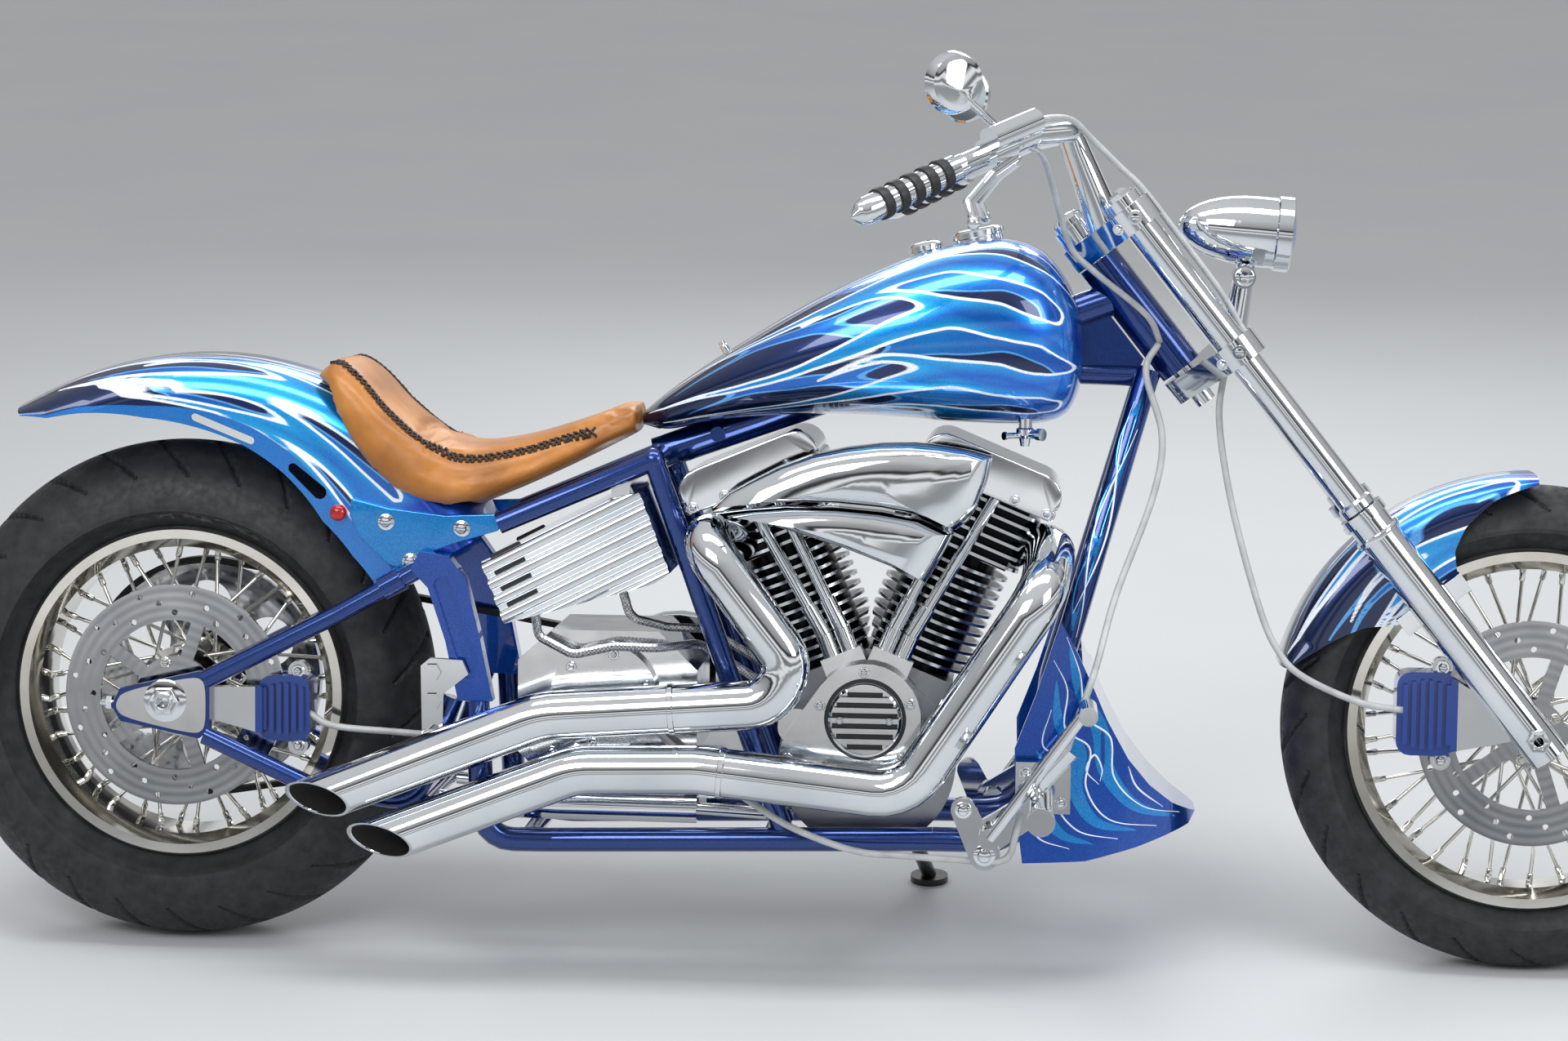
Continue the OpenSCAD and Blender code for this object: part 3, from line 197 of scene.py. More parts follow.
# %% Start of every material
def finish(name, base, metallic=0.0, roughness=0.5, varied=None, grain=None, **sockets):
    """A material. Constant values sit on the shader itself. varied gives a socket blotches of a size in mm, between
    two hex colours or levels or along a list of stops. grain is a relief: size and depth in mm, and strength."""
    made = bpy.data.materials.new(name)
    made.use_nodes = True
    tree = made.node_tree
    shader = tree.nodes["Principled BSDF"]
    shader.inputs["Base Color"].default_value = linear(base)
    shader.inputs["Metallic"].default_value = metallic
    shader.inputs["Roughness"].default_value = roughness
    for key, value in sockets.items():
        shader.inputs[key.replace("_", " ")].default_value = value
    where = add(tree, "TexCoord").outputs["Object"]
    for socket, (size_mm, *levels) in (varied or {}).items():
        blotch = add(tree, "TexNoise", {"Vector": where, "Scale": 1000 / size_mm, "Detail": 4.0})
        stops = levels[0] if isinstance(levels[0], list) else zip((0.3, 0.7), levels)
        link(shader, socket, set_stops(add(tree, "ValToRGB", {"Fac": blotch.outputs["Fac"]}), stops))
    if grain:
        size_mm, depth_mm, strength = grain
        grit = add(tree, "TexNoise", {"Vector": where, "Scale": 1000 / size_mm, "Detail": 2.0})
        link(shader, "Normal", add(tree, "Bump", {"Height": grit.outputs["Fac"], "Distance": depth_mm / 1000,
                                                  "Strength": strength}))
    return made, tree, shader, where


# %% Chrome plating
# Chromium over polished nickel: a mirror with faint wiping haze, blotches of about 60 mm
chrome = finish("chrome_plated_steel", "#DDE1E5", 1.0, 0.06, {
    "Roughness": (60, [(0.35, 0.03), (0.7, 0.08)]), "Base Color": (130, "#D2D7DC", "#E6E9EC")})[0]
# Rims and spokes see more road, so their plating is a little greyer and yellower with dust
spoke_chrome = finish("chrome_plated_spokes", "#D2D0CA", 1.0, 0.07, {
    "Base Color": (90, [(0.35, "#CBC8C0"), (0.65, "#DDDCD8")]), "Roughness": (60, 0.04, 0.09)})[0]
# Silvered glass of the mirrors, greyer than chrome
silvered = finish("silvered_glass", "#B9C3CC", 1.0, 0.03, {"Roughness": (40, 0.015, 0.05)})[0]

# %% Aluminium
# Sand-cast aluminium, bead blasted: even grey with a fine grain, 1.5 mm drawn for grit of 0.3 mm
cast = finish("cast_aluminium", "#989BA0", 1.0, 0.34, {"Roughness": (30, 0.22, 0.36)},
              (1.5, 0.12, 0.3))[0]
# Polished aluminium covers: bright, softer than chrome, with buffing haze of 35 mm
polished = finish("polished_aluminium", "#D6D8DA", 1.0, 0.12, {"Roughness": (35, 0.06, 0.15)})[0]
# Barrels and heads: black enamel that is baked on between the fins, and turned off their edges, and painted shade:
# the colour darkens deeper into the gaps. The distance from a cylinder's own axis, in mm, tells edge from gap; a
# head is square, so there the larger of its two sides counts
fins, tree, shader, where = finish("finned_aluminium", "#C2C5C8", 1.0, 0.22, {
    "Roughness": (40, 0.18, 0.26)})
reach = []
for side in (-1, 1):
    turn = (PARK.to_3x3().normalized() @ Matrix.Rotation(side * VEE, 3, "Y")).to_euler()
    local = add(tree, "Mapping", {"Vector": where, "Location": PARK @ CRANK, "Rotation": turn,
                                  "Scale": (0.001, 0.001, 0.001)}, vector_type="TEXTURE")
    flat = add(tree, "VectorMath", {0: local, 1: (1, 1, 0)}, operation="MULTIPLY")
    round_mm = add(tree, "VectorMath", {0: flat}, operation="LENGTH").outputs["Value"]
    sides = add(tree, "SeparateXYZ", {"Vector": add(tree, "VectorMath", {0: flat}, operation="ABSOLUTE")})
    shorter = add(tree, "Math", {0: sides.outputs["X"], 1: 7.0}, operation="SUBTRACT")
    square_mm = add(tree, "Math", {0: shorter, 1: sides.outputs["Y"]}, operation="MAXIMUM")
    up = add(tree, "SeparateXYZ", {"Vector": local})
    on_head = add(tree, "Math", {0: up.outputs["Z"], 1: 300.5}, operation="GREATER_THAN")
    reach.append(add(tree, "Mix", {0: on_head, 2: round_mm, 3: square_mm}))
nearest = add(tree, "Math", {0: reach[0], 1: reach[1]}, operation="MINIMUM")
# Enamel and painted shade: black from 68 mm out from the axis, lightening to the bright turned edge by about 71 mm
edge = add(tree, "MapRange", {"Value": nearest, "From Min": 68.0, "From Max": 72.0})
link(shader, "Base Color", set_stops(add(tree, "ValToRGB", {"Fac": edge}),
                                     [(0.0, "#17181A"), (0.3, "#3A3C40"), (0.8, "#D4D7DA")]))

# %% Ground steel
# Brake discs are ground while they turn, and the pads polish them in rings around the axle, about 12 mm wide
disc_steel = {}
for end, axle in (("rear", REAR_AXLE), ("front", FRONT_AXLE)):
    made, tree, shader, where = finish(end + "_ground_steel", "#A4A7AB", 1.0, 0.14, {
        "Base Color": (80, "#989BA0", "#B2B5B8")})
    turned = add(tree, "Mapping", {"Vector": where, "Location": PARK @ axle, "Rotation": (-LEAN, 0, 0)},
                 vector_type="TEXTURE")
    rings = add(tree, "TexWave", {"Vector": turned, "Scale": 26.0, "Distortion": 0.3},
                wave_type="RINGS", rings_direction="Y")
    level = add(tree, "MapRange", {"Value": rings.outputs["Fac"], "To Min": 0.07, "To Max": 0.17})
    link(shader, "Roughness", level)
    disc_steel[end] = made

# %% Lacquers
# Metallic lacquer: a blue base coat with aluminium flake of 0.2 mm, drawn 1.2 mm, under clear lacquer
lacquers = {}
for key, deep, bright, metallic in [
        ("navy", "#082C6C", "#0C3F8E", 0.8), ("royal", "#08409E", "#0B58C0", 0.8),
        ("sky", "#0E78CC", "#149AE6", 0.75)]:
    made, tree, shader, where = finish(key + "_lacquer", deep, metallic, 0.24, {
        "Roughness": (90, 0.2, 0.27)}, Coat_Weight=1.0, Coat_Roughness=0.03)
    flake = add(tree, "TexVoronoi", {"Vector": where, "Scale": 1000 / 1.2})
    ramp = add(tree, "ValToRGB", {"Fac": flake.outputs["Color"]})
    link(shader, "Base Color", set_stops(ramp, [(0.2, deep), (0.85, bright)]))
    lacquers[key] = made
navy, royal, sky = lacquers.values()
# Calipers: blue enamel on the body, while the lugs and the bracket beside it are bare polished aluminium
enamel = {}
for end, centre, half_x, half_z in (("rear", (150, 0, 322.1), 35, 44.5), ("front", (1630, 0, 343.8), 39, 55.5)):
    made, tree, shader, where = finish(end + "_caliper_enamel", "#0C3A8C", 0.3, 0.2, {
        "Roughness": (30, 0.16, 0.26)}, Coat_Weight=1.0, Coat_Roughness=0.05)
    local = add(tree, "Mapping", {"Vector": where, "Location": PARK @ Vector(centre), "Rotation": (-LEAN, 0, 0),
                                  "Scale": (half_x / 1000, 1, half_z / 1000)}, vector_type="TEXTURE")
    sides = add(tree, "SeparateXYZ", {"Vector": add(tree, "VectorMath", {0: local}, operation="ABSOLUTE")})
    far = add(tree, "Math", {0: sides.outputs["X"], 1: sides.outputs["Z"]}, operation="MAXIMUM")
    bare = add(tree, "Math", {0: far, 1: 1.0}, operation="GREATER_THAN")
    coat = add(tree, "Mix", {0: bare, 6: linear("#0C3A8C"), 7: linear("#CFD2D5")}, data_type="RGBA")
    link(shader, "Base Color", coat.outputs[2])
    link(shader, "Metallic", add(tree, "MapRange", {"Value": bare, "To Min": 0.3, "To Max": 1.0}))
    enamel[end] = made
# Pinstriping enamel: opaque white with a breath of blue, brushed by hand, so slightly uneven
stripe = finish("white_striping_enamel", "#EDF4FF", 0.0, 0.25, {
    "Base Color": (30, "#DCE8FA", "#F6FAFF")}, Coat_Weight=0.6)[0]
# Stand and small brackets: satin black enamel over steel
black_enamel = finish("black_enamel", "#141518", 0.1, 0.35, {"Roughness": (12, 0.28, 0.45)},
                      Coat_Weight=0.4)[0]

# %% Rubbers, hoses and sheaths
# Vulcanised tyre rubber: almost black, greyer where dust lies
rubber = finish("vulcanised_rubber", "#17181A", 0.0, 0.62, {
    "Base Color": (22, [(0.35, "#141517"), (0.75, "#2A2B2E")]), "Roughness": (9, 0.48, 0.74)},
    (2.0, 0.1, 0.3))[0]
moulded = finish("moulded_black_rubber", "#1B1C1E", 0.0, 0.5, {"Roughness": (6, 0.42, 0.62)})[0]
# Braided steel hose: wires cross at a slant, 1 mm wide, drawn 2.5 mm so that the braid shows
braid, tree, shader, where = finish("braided_steel_hose", "#B4B6B9", 1.0, 0.3)
link(shader, "Base Color", add(tree, "TexChecker", {
    "Vector": where, "Scale": 400.0, "Color1": linear("#D6D8DA"), "Color2": linear("#7E8186")}))
# Cable sheath: pale grey vinyl with handling marks
sheath = finish("pale_vinyl_sheath", "#B4B7B9", 0.0, 0.35, {
    "Base Color": (25, "#A6A9AB", "#C0C3C4"), "Roughness": (15, 0.28, 0.45)})[0]

# %% Lenses
lens_glass = finish("pressed_glass", "#A8C6FF", 0.0, 0.03, None, (9, 0.4, 0.4), IOR=1.5, Transmission_Weight=0.6)[0]
red_lens = finish("red_acrylic", "#B4070D", 0.0, 0.12, {"Base Color": (6, "#8E0509", "#C90D14")},
                  IOR=1.49, Coat_Weight=0.6)[0]
print(len(bpy.data.materials), "materials")

# %% [markdown]
# ## The CAD nodes
# The solids keep their shapes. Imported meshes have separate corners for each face, so a Weld modifier joins them;
# a narrow Bevel catches the light on machined edges, and Weighted Normal keeps the flat faces flat.


# %% Dress a node
def dress(node, material, bevel_mm=0.0, crease=34):
    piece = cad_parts[node]
    mesh = piece.data
    mesh.materials.clear()
    mesh.materials.append(material)
    if "custom_normal" in mesh.attributes:
        mesh.attributes.remove(mesh.attributes["custom_normal"])
    mesh.shade_smooth()
    weld = piece.modifiers.new("join corners", "WELD")
    weld.merge_threshold = 1e-5
    if bevel_mm:
        bevel = piece.modifiers.new("broken edges", "BEVEL")
        bevel.limit_method = "ANGLE"
        bevel.angle_limit = math.radians(crease)
        bevel.width = bevel_mm / 1000
        bevel.segments = 2
        bevel.use_clamp_overlap = True
        flat = piece.modifiers.new("flat faces", "WEIGHTED_NORMAL")
        flat.weight = 90
    else:
        split = piece.modifiers.new("creases", "EDGE_SPLIT")
        split.split_angle = math.radians(crease)


# Finishes, the width in mm of the broken edges that a machined or cast piece has, and the nodes
dressing = [
    (navy, 0, "frame_backbone frame_downtubes frame_lower_rails frame_seat_rails swingarm swingarm_bridge"),
    (royal, 0, "fuel_tank seat rear_fender front_fender"), (royal, 2, "chin_spoiler"), (royal, 4, "pivot_castings"),
    (sky, 2, "fender_struts"), (enamel["rear"], 2, "rear_caliper"), (enamel["front"], 2, "front_caliper"),
    (chrome, 0, "oil_tank air_cleaner front_exhaust rear_exhaust handlebar grips bar_controls headlamp"),
    (chrome, 0.6, "pushrod_tubes"), (chrome, 1, "rear_axle shock_absorbers tank_console fork_tubes front_axle"),
    (chrome, 1.5, "foot_controls fork_sliders"), (chrome, 2, "fork_trees"), (chrome, 3, "rocker_boxes"),
    (chrome, 4, "primary_cover"), (spoke_chrome, 0, "front_wire_wheel rear_wire_wheel"),
    (cast, 3, "crankcase"), (fins, 0, "cylinders"), (polished, 1, "carburettor"), (polished, 1.5, "cam_cover"),
    (polished, 3, "transmission"), (disc_steel["front"], 0, "front_disc"), (disc_steel["rear"], 0, "rear_disc"),
    (disc_steel["rear"], 1, "rear_pulley"), (black_enamel, 1, "side_stand"), (rubber, 0, "front_tyre rear_tyre"),
    (moulded, 0, "drive_belt"), (braid, 0, "oil_hoses"),
    (sheath, 0, "front_brake_hose rear_brake_hose clutch_cable"), (red_lens, 0, "marker_lamps"),
    (lens_glass, 0, "headlamp_lens")]
for material, bevel_mm, nodes in dressing:
    for node in nodes.split():
        dress(node, material, bevel_mm)
print("dressed", len(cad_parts), "nodes in", len(dressing), "groups")


# %% [markdown]
# ## New pieces
# A new piece is a mesh of points in upright millimetres. One helper parks it, smooths it, gives it its finish and
# hands it to the body that carries it.


# %% Piece helpers
def loose(name, points, faces):
    """A mesh in the parked place that no body carries yet."""
    mesh = bpy.data.meshes.new(name)
    mesh.from_pydata([tuple(p) for p in points], [], faces)
    mesh.transform(PARK)
    made = bpy.data.objects.new(name, mesh)
    scene.collection.objects.link(made)
    bpy.context.view_layer.update()
    return made


def smooth(made, crease):
    """Smooth shading, with sharp edges where faces meet at more than the crease in degrees."""
    made.data.shade_smooth()
    made.data.set_sharp_from_angle(angle=math.radians(crease))


def piece(name, points, faces, material, body, slot=None, crease=38):
    made = loose(name, points, faces)
    made.data.validate()
    made.data.materials.append(material)
    smooth(made, crease)
    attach(made, body)
    return made


def skin(rings, caps=True, loop=False):
    """Points and faces of a skin over rings of equal length, closed by caps or joined end to end in a loop."""
    n, rows = len(rings[0]), len(rings)
    faces = [(i * n + j, i * n + (j + 1) % n, (i + 1) % rows * n + (j + 1) % n, (i + 1) % rows * n + j)
             for i in range(rows if loop else rows - 1) for j in range(n)]
    if caps and not loop:
        faces.append(tuple(reversed(range(n))))
        faces.append(tuple((rows - 1) * n + j for j in range(n)))
    return [p for ring in rings for p in ring], faces


def smooth_table(rows, places):
    """Catmull-Rom values of a table whose first column is the place."""
    rows = np.array(rows, float)
    out = []
    for place in places:
        k = int(np.clip(np.searchsorted(rows[:, 0], place) - 1, 0, len(rows) - 2))
        a, b = rows[max(k - 1, 0)], rows[min(k + 2, len(rows) - 1)]
        p, q = rows[k], rows[k + 1]
        t = (place - p[0]) / (q[0] - p[0])
        m0 = (q - a) / max(q[0] - a[0], 1e-9) * (q[0] - p[0])
        m1 = (b - p) / max(b[0] - p[0], 1e-9) * (q[0] - p[0])
        h = ((2 * t**3 - 3 * t**2 + 1) * p + (t**3 - 2 * t**2 + t) * m0
             + (3 * t**2 - 2 * t**3) * q + (t**3 - t**2) * m1)
        h[0] = place
        out.append(h)
    return out


def smooth_path(points, count=60):
    """Points of a smooth curve through the given ones, in two or three dimensions."""
    rows = smooth_table([(k, *p) for k, p in enumerate(points)], np.linspace(0, len(points) - 1, count))
    return [row[1:] for row in rows]


def oval(x, low, high, half, power, n):
    """Rounded ring across the bike at x."""
    ring = []
    for k in range(n):
        a = 2 * math.pi * (k + 0.5) / n
        c, s = math.cos(a), math.sin(a)
        ring.append((x, half * math.copysign(abs(c) ** (2 / power), c),
                     (low + high) / 2 + (high - low) / 2 * math.copysign(abs(s) ** (2 / power), s)))
    return ring


def turns(count):
    """Angles once around in equal steps."""
    return np.linspace(0, 2 * math.pi, count, False)


def applied(made):
    """The mesh of an object with its modifiers applied."""
    return bpy.data.meshes.new_from_object(made.evaluated_get(bpy.context.evaluated_depsgraph_get()))


def cut(target, cutter):
    """Takes the cutter's volume away from a piece, then removes the cutter."""
    step = target.modifiers.new("cut", "BOOLEAN")
    step.operation, step.solver, step.object = "DIFFERENCE", "EXACT", cutter
    done = applied(target)
    target.modifiers.remove(step)
    old = target.data
    target.data = done
    bpy.data.meshes.remove(old)
    bpy.data.objects.remove(cutter)


# %% [markdown]
# ## Flame paint
# Hot-rod flames are masked by hand: tongues that start as one field at the front, stream backwards in long S
# curves and end in points, with a fine white line along every edge. An image would blur, and a noise pattern has
# no such edges. So each tongue is a tapering stroke, and every point of the skin stores its distance in
# millimetres to the edge of the flames. The shader reads that distance: inside is flame, within 2 mm is the line.


# %% Flame fields
def stroke_distance(s, g, path):
    """Distance of points to a tapering stroke, negative inside. The path holds place, height and half width."""
    path = np.array(path, float)
    fine = np.array(smooth_table(path, np.linspace(path[0, 0], path[-1, 0], 28)))
    best = np.full(len(s), 1e9)
    for a, b in zip(fine[:-1], fine[1:]):
        d = b[:2] - a[:2]
        t = np.clip(((s - a[0]) * d[0] + (g - a[1]) * d[1]) / (d @ d), 0, 1)
        far = np.hypot(s - a[0] - t * d[0], g - a[1] - t * d[1])
        best = np.minimum(best, far - (a[2] + t * (b[2] - a[2])))
    return best


def melt(a, b, k):
    """Smooth union, which rounds the bays between tongues."""
    h = np.clip(0.5 + 0.5 * (b - a) / k, 0, 1)
    return b + (a - b) * h - k * h * (1 - h)


def flames(s, g, root, tongues, bay=26):
    """Distance to a flame field: everything ahead of root, and the tongues that stream from it."""
    field = s - root - 10 * np.sin(g / 23.0)
    for row in tongues:
        field = melt(field, stroke_distance(s, g, tongue(*row)), bay)
    return field


def tongue(start, height, reach, drift, wave, width):
    """A tongue from start to reach that drifts and waves, as rows for stroke_distance."""
    rows = []
    for k in range(9):
        t = k / 8
        rows.append((start + (reach - start) * t,
                     height + drift * t + wave * math.sin(2 * math.pi * t) * (1 - 0.4 * t),
                     width * (1 - t) ** 0.75 * (0.72 + 0.5 * math.sin(math.pi * min(1, t * 1.6)))))
    return rows


def paint(made, along, front, behind, fade_over, rail=None):
    """Stores the flame distances and the fade on a piece's points. along gives s and g of upright points, rail the
    depth into a plain band."""
    mesh = made.data
    co = np.empty(len(mesh.vertices) * 3)
    mesh.vertices.foreach_get("co", co)
    co = co.reshape(-1, 3)
    flat = np.array(UPRIGHT)
    upright = co @ flat[:3, :3].T + flat[:3, 3]
    s, g = along(upright)
    values = {"flame_mm": flames(s, g, *front), "ghost_mm": flames(s, g, *behind),
              "fade": np.clip(s / fade_over, 0, 1)}
    if rail:
        values["rail_mm"] = rail(upright)
    for key, value in values.items():
        store = mesh.attributes.new(key, "FLOAT", "POINT")
        store.data.foreach_set("value", value.astype(np.float32))


# %% Flame lacquer
# Layers as a painter sprays them: navy, a royal blue ghost layer, flames that shade from a cyan rim to a royal
# core, and the white line. A plain bright band covers them along the rear fender's lower edge
flame_paint, tree, shader, where = finish("flame_lacquer", "#0B58C0", 0.7, 0.26, {
    "Roughness": (90, 0.22, 0.32)}, Coat_Weight=1.0, Coat_Roughness=0.025)
stored = {key: add(tree, "Attribute", attribute_name=key).outputs["Fac"]
          for key in ("fade", "flame_mm", "ghost_mm", "rail_mm")}
shades = {}
for key, stops in {
        "rim": [(0.0, "#0C80EA"), (0.3, "#16B4FA"), (0.7, "#12A4F2"), (1.0, "#107CDC")],
        "core": [(0.0, "#064CC4"), (0.5, "#085CCE"), (1.0, "#06409C")],
        "under": [(0.0, "#031C4C"), (0.5, "#04245E"), (1.0, "#031C48")],
        "ghost": [(0.0, "#0652C0"), (0.35, "#0880D8"), (0.7, "#0762C8"), (1.0, "#0648A4")]}.items():
    shades[key] = set_stops(add(tree, "ValToRGB", {"Fac": stored["fade"]}), stops)
depth = add(tree, "MapRange", {"Value": stored["flame_mm"], "From Min": -2.0, "From Max": -17.0})
inside = add(tree, "Mix", {0: depth, 6: shades["rim"], 7: shades["core"]}, data_type="RGBA").outputs[2]
# How much of each layer shows: areas end at an edge, lines lie on both sides of one, both over these distances
layers = {}
for key, source, near, far in [("ghost", "ghost_mm", -0.8, 0.8), ("thin line", "ghost_mm", 0.7, 1.5),
                               ("flame", "flame_mm", -0.6, 0.6), ("line", "flame_mm", 1.2, 2.2)]:
    distance = stored[source]
    if "line" in key:
        distance = add(tree, "Math", {0: distance}, operation="ABSOLUTE")
    layers[key] = add(tree, "MapRange", {"Value": distance, "From Min": near, "From Max": far,
                                         "To Min": 1.0, "To Max": 0.0})
layers["rail"] = add(tree, "MapRange", {"Value": stored["rail_mm"], "From Min": 0.3, "From Max": 1.6})
colour = shades["under"]
for key, over in [("ghost", shades["ghost"]), ("thin line", linear("#5FB4FF")), ("flame", inside),
                  ("line", linear("#EDF5FF")), ("rail", linear("#1F7FD8"))]:
    colour = add(tree, "Mix", {0: layers[key], 6: colour, 7: over}, data_type="RGBA").outputs[2]
flake = add(tree, "TexVoronoi", {"Vector": where, "Scale": 1000 / 1.2})
spark = add(tree, "MapRange", {"Value": flake.outputs["Color"], "To Min": 0.82, "To Max": 1.18})
link(shader, "Base Color", add(tree, "VectorMath", {0: colour, 1: spark}, operation="MULTIPLY"))
bare_line = add(tree, "Math", {0: layers["line"], 1: layers["rail"]}, operation="SUBTRACT", use_clamp=True)
link(shader, "Metallic", add(tree, "MapRange", {"Value": bare_line, "To Min": 0.7, "To Max": 0.0}))
print("flame lacquer has", len(tree.nodes), "nodes")

# %% [markdown]
# ## Fuel tank
# Two pressed steel shells welded along the middle, with a tunnel underneath for the backbone. The skin is a loft
# through the same sections as the solid, but curved between them and fine enough, about 4 mm, to carry the flames.

# %% Tank skin
TANK = [(609, 694, 712, 26), (640, 688, 738, 60), (690, 698, 774, 90), (760, 708, 819, 116), (840, 713, 866, 137),
        (930, 711, 909, 149), (1010, 706, 936, 151), (1080, 703, 945, 144), (1130, 705, 928, 128),
        (1162, 717, 890, 103), (1178, 745, 850, 72), (1184, 780, 815, 34)]
tank_places = np.concatenate([np.linspace(609, 1130, 120), np.linspace(1134, 1178, 22),
                              np.linspace(1180, 1184, 4)])
tank = piece("tank_skin", *skin([oval(*row, 2.5, 200) for row in smooth_table(TANK, tank_places)]),
             flame_paint, "frame", "body_paint", 60)
BACKBONE = (Vector((625, 0, 655)), fork_point(-84, 0, 770))
spine = (BACKBONE[1] - BACKBONE[0]).normalized()
up = Vector((-spine.z, 0, spine.x))
foot = BACKBONE[0] - spine * 40
corners = [foot + spine * a + up * b + Vector((0, c, 0))
           for a in (0, 720) for b in (31, -269) for c in (-36, 36)]
cut(tank, loose("tunnel", corners, [(0, 1, 3, 2), (4, 6, 7, 5), (0, 4, 5, 1), (2, 3, 7, 6), (0, 2, 6, 4),
                                    (1, 5, 7, 3)]))
smooth(tank, 60)


def tank_along(p):
    """Distance back from the nose, and height around the flank from its middle."""
    middle = np.interp(p[:, 0], [r[0] for r in TANK], [(r[1] + r[2]) / 2 for r in TANK])
    return TANK[-1][0] - p[:, 0], np.arctan2(p[:, 2] - middle, np.abs(p[:, 1]) + 1e-6) * 132


paint(tank, tank_along,
      (20, [(12, 200, 470, -8, 6, 13), (12, 168, 340, -14, -16, 14), (12, 134, 545, 0, 22, 15),
            (12, 99, 380, 16, -24, 15), (12, 64, 560, 22, 28, 16), (12, 28, 360, 22, -26, 15),
            (12, -8, 565, 26, 30, 16), (12, -44, 340, 16, -24, 15), (12, -80, 545, 50, 26, 16),
            (12, -114, 310, 20, -18, 15), (12, -148, 450, 64, 14, 15)], 11),
      (46, [(40, 184, 430, -12, 16, 11), (40, 151, 500, -10, -20, 12), (40, 116, 470, 14, 24, 12),
            (40, 81, 520, 22, -26, 12), (40, 46, 480, 20, 26, 12), (40, 10, 530, 22, -26, 12),
            (40, -26, 470, 20, 26, 12), (40, -62, 510, 36, -24, 12), (40, -97, 440, 30, 20, 12),
            (40, -131, 400, 40, -14, 11)], 12),
      560)
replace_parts(tank, "fuel_tank")
print("tank skin", len(tank.data.polygons), "faces")

# %% [markdown]
# ## Fenders
# Each fender is a rolled sheet with a crowned section. The solid has the right outline with coarse facets; here the
# same section is swept with a mesh fine enough for the flames, and the rear one's slots are cut through the sheet.

# %% Fender skins
SHEET = 3


def fender_skin(name, centre, crown, half, rise, skirt, steps, body):
    angles = np.linspace(skirt[0][0], skirt[-1][0], steps)
    lows = np.interp(angles, [r[0] for r in skirt], [r[1] for r in skirt])
    rings = []
    for angle, low in zip(np.radians(angles), lows):
        section = []
        for top, side in ((crown, half), (crown - SHEET, half - SHEET)):
            h = min(rise, top - low - 1)
            arch = [(side * math.copysign(abs(math.cos(t)) ** 0.6, math.cos(t)), top - h + h * math.sin(t) ** 0.9)
                    for t in np.linspace(0, math.pi, 49)]
            down = [(side, low + (arch[0][1] - low) * k / 14) for k in range(14)]
            row = down + arch + [(-y, r) for y, r in reversed(down)]
            section += row if top == crown else list(reversed(row))
        rings.append([(centre[0] + r * math.sin(angle), y, centre[1] + r * math.cos(angle)) for y, r in section])
    points, faces = skin(rings, caps=False)
    n, last = len(rings[0]), len(rings) - 1
    for k in range(n // 2 - 1):
        faces.append((n - 1 - k, n - 2 - k, k + 1, k))
        faces.append(tuple(last * n + j for j in (k, k + 1, n - 2 - k, n - 1 - k)))
    return piece(name, points, faces, flame_paint, body, "body_paint", 50)


REAR_FENDER = ((30, 333), 448, 112, 52)
REAR_SKIRT = [(-32, 432), (-28, 412), (-22, 400), (-10, 372), (0, 356), (12, 338), (22, 320), (36, 291), (48, 284),
              (60, 286)]
FRONT_FENDER = ((WHEELBASE, FRONT_AXLE.z), 333, 72, 40)
FRONT_SKIRT = [(-76, 322), (-70, 296), (-64, 274), (-58, 252), (-53, 226), (-50, 218), (-28, 218), (-26, 228),
               (-24, 256), (-19, 280), (-10, 306), (0, 322)]
rear_fender = fender_skin("rear_fender_skin", *REAR_FENDER, REAR_SKIRT, 170, "frame")
front_fender = fender_skin("front_fender_skin", *FRONT_FENDER, FRONT_SKIRT, 130, "fork")


def slot_outline(*ends):
    """A slot with two round ends, each a place along the bike, a height and a radius."""
    (ax, az, _), (bx, bz, _) = ends
    turn = math.atan2(bz - az, bx - ax)
    return [(x + r * math.cos(turn + start + t), z + r * math.sin(turn + start + t))
            for (x, z, r), start in zip(reversed(ends), (-math.pi / 2, math.pi / 2))
            for t in np.linspace(0, math.pi, 13)]


# Both sides of the rear fender have a long slot in the lower edge, and a window ahead of it
for ends in [((33, 701, 5), (106, 672, 5)), ((162, 637, 6.5), (197, 606, 9))]:
    cut(rear_fender, loose("slot", *skin([[(x, y, z) for x, z in slot_outline(*ends)] for y in (130, -130)])))
smooth(rear_fender, 50)


def fender_along(centre, crown, start):
    """Distance back along the crown from the start angle, and distance down from the crown line."""
    def along(p):
        dx, dz = p[:, 0] - centre[0], p[:, 2] - centre[1]
        down = np.maximum(0, crown - 45 - np.hypot(dx, dz))
        return (start - np.arctan2(dx, dz)) * crown, np.abs(p[:, 1]) + down
    return along


def fender_rail(p):
    """Depth into the plain band along the rear fender's lower edge, negative above it."""
    dx, dz = p[:, 0] - REAR_FENDER[0][0], p[:, 2] - REAR_FENDER[0][1]
    angle = np.degrees(np.arctan2(dx, dz))
    above = np.hypot(dx, dz) - np.interp(angle, [r[0] for r in REAR_SKIRT], [r[1] for r in REAR_SKIRT])
    return np.interp(angle, [-32, -18, 2, 12, 60], [3, 11, 25, 28, 30]) - above


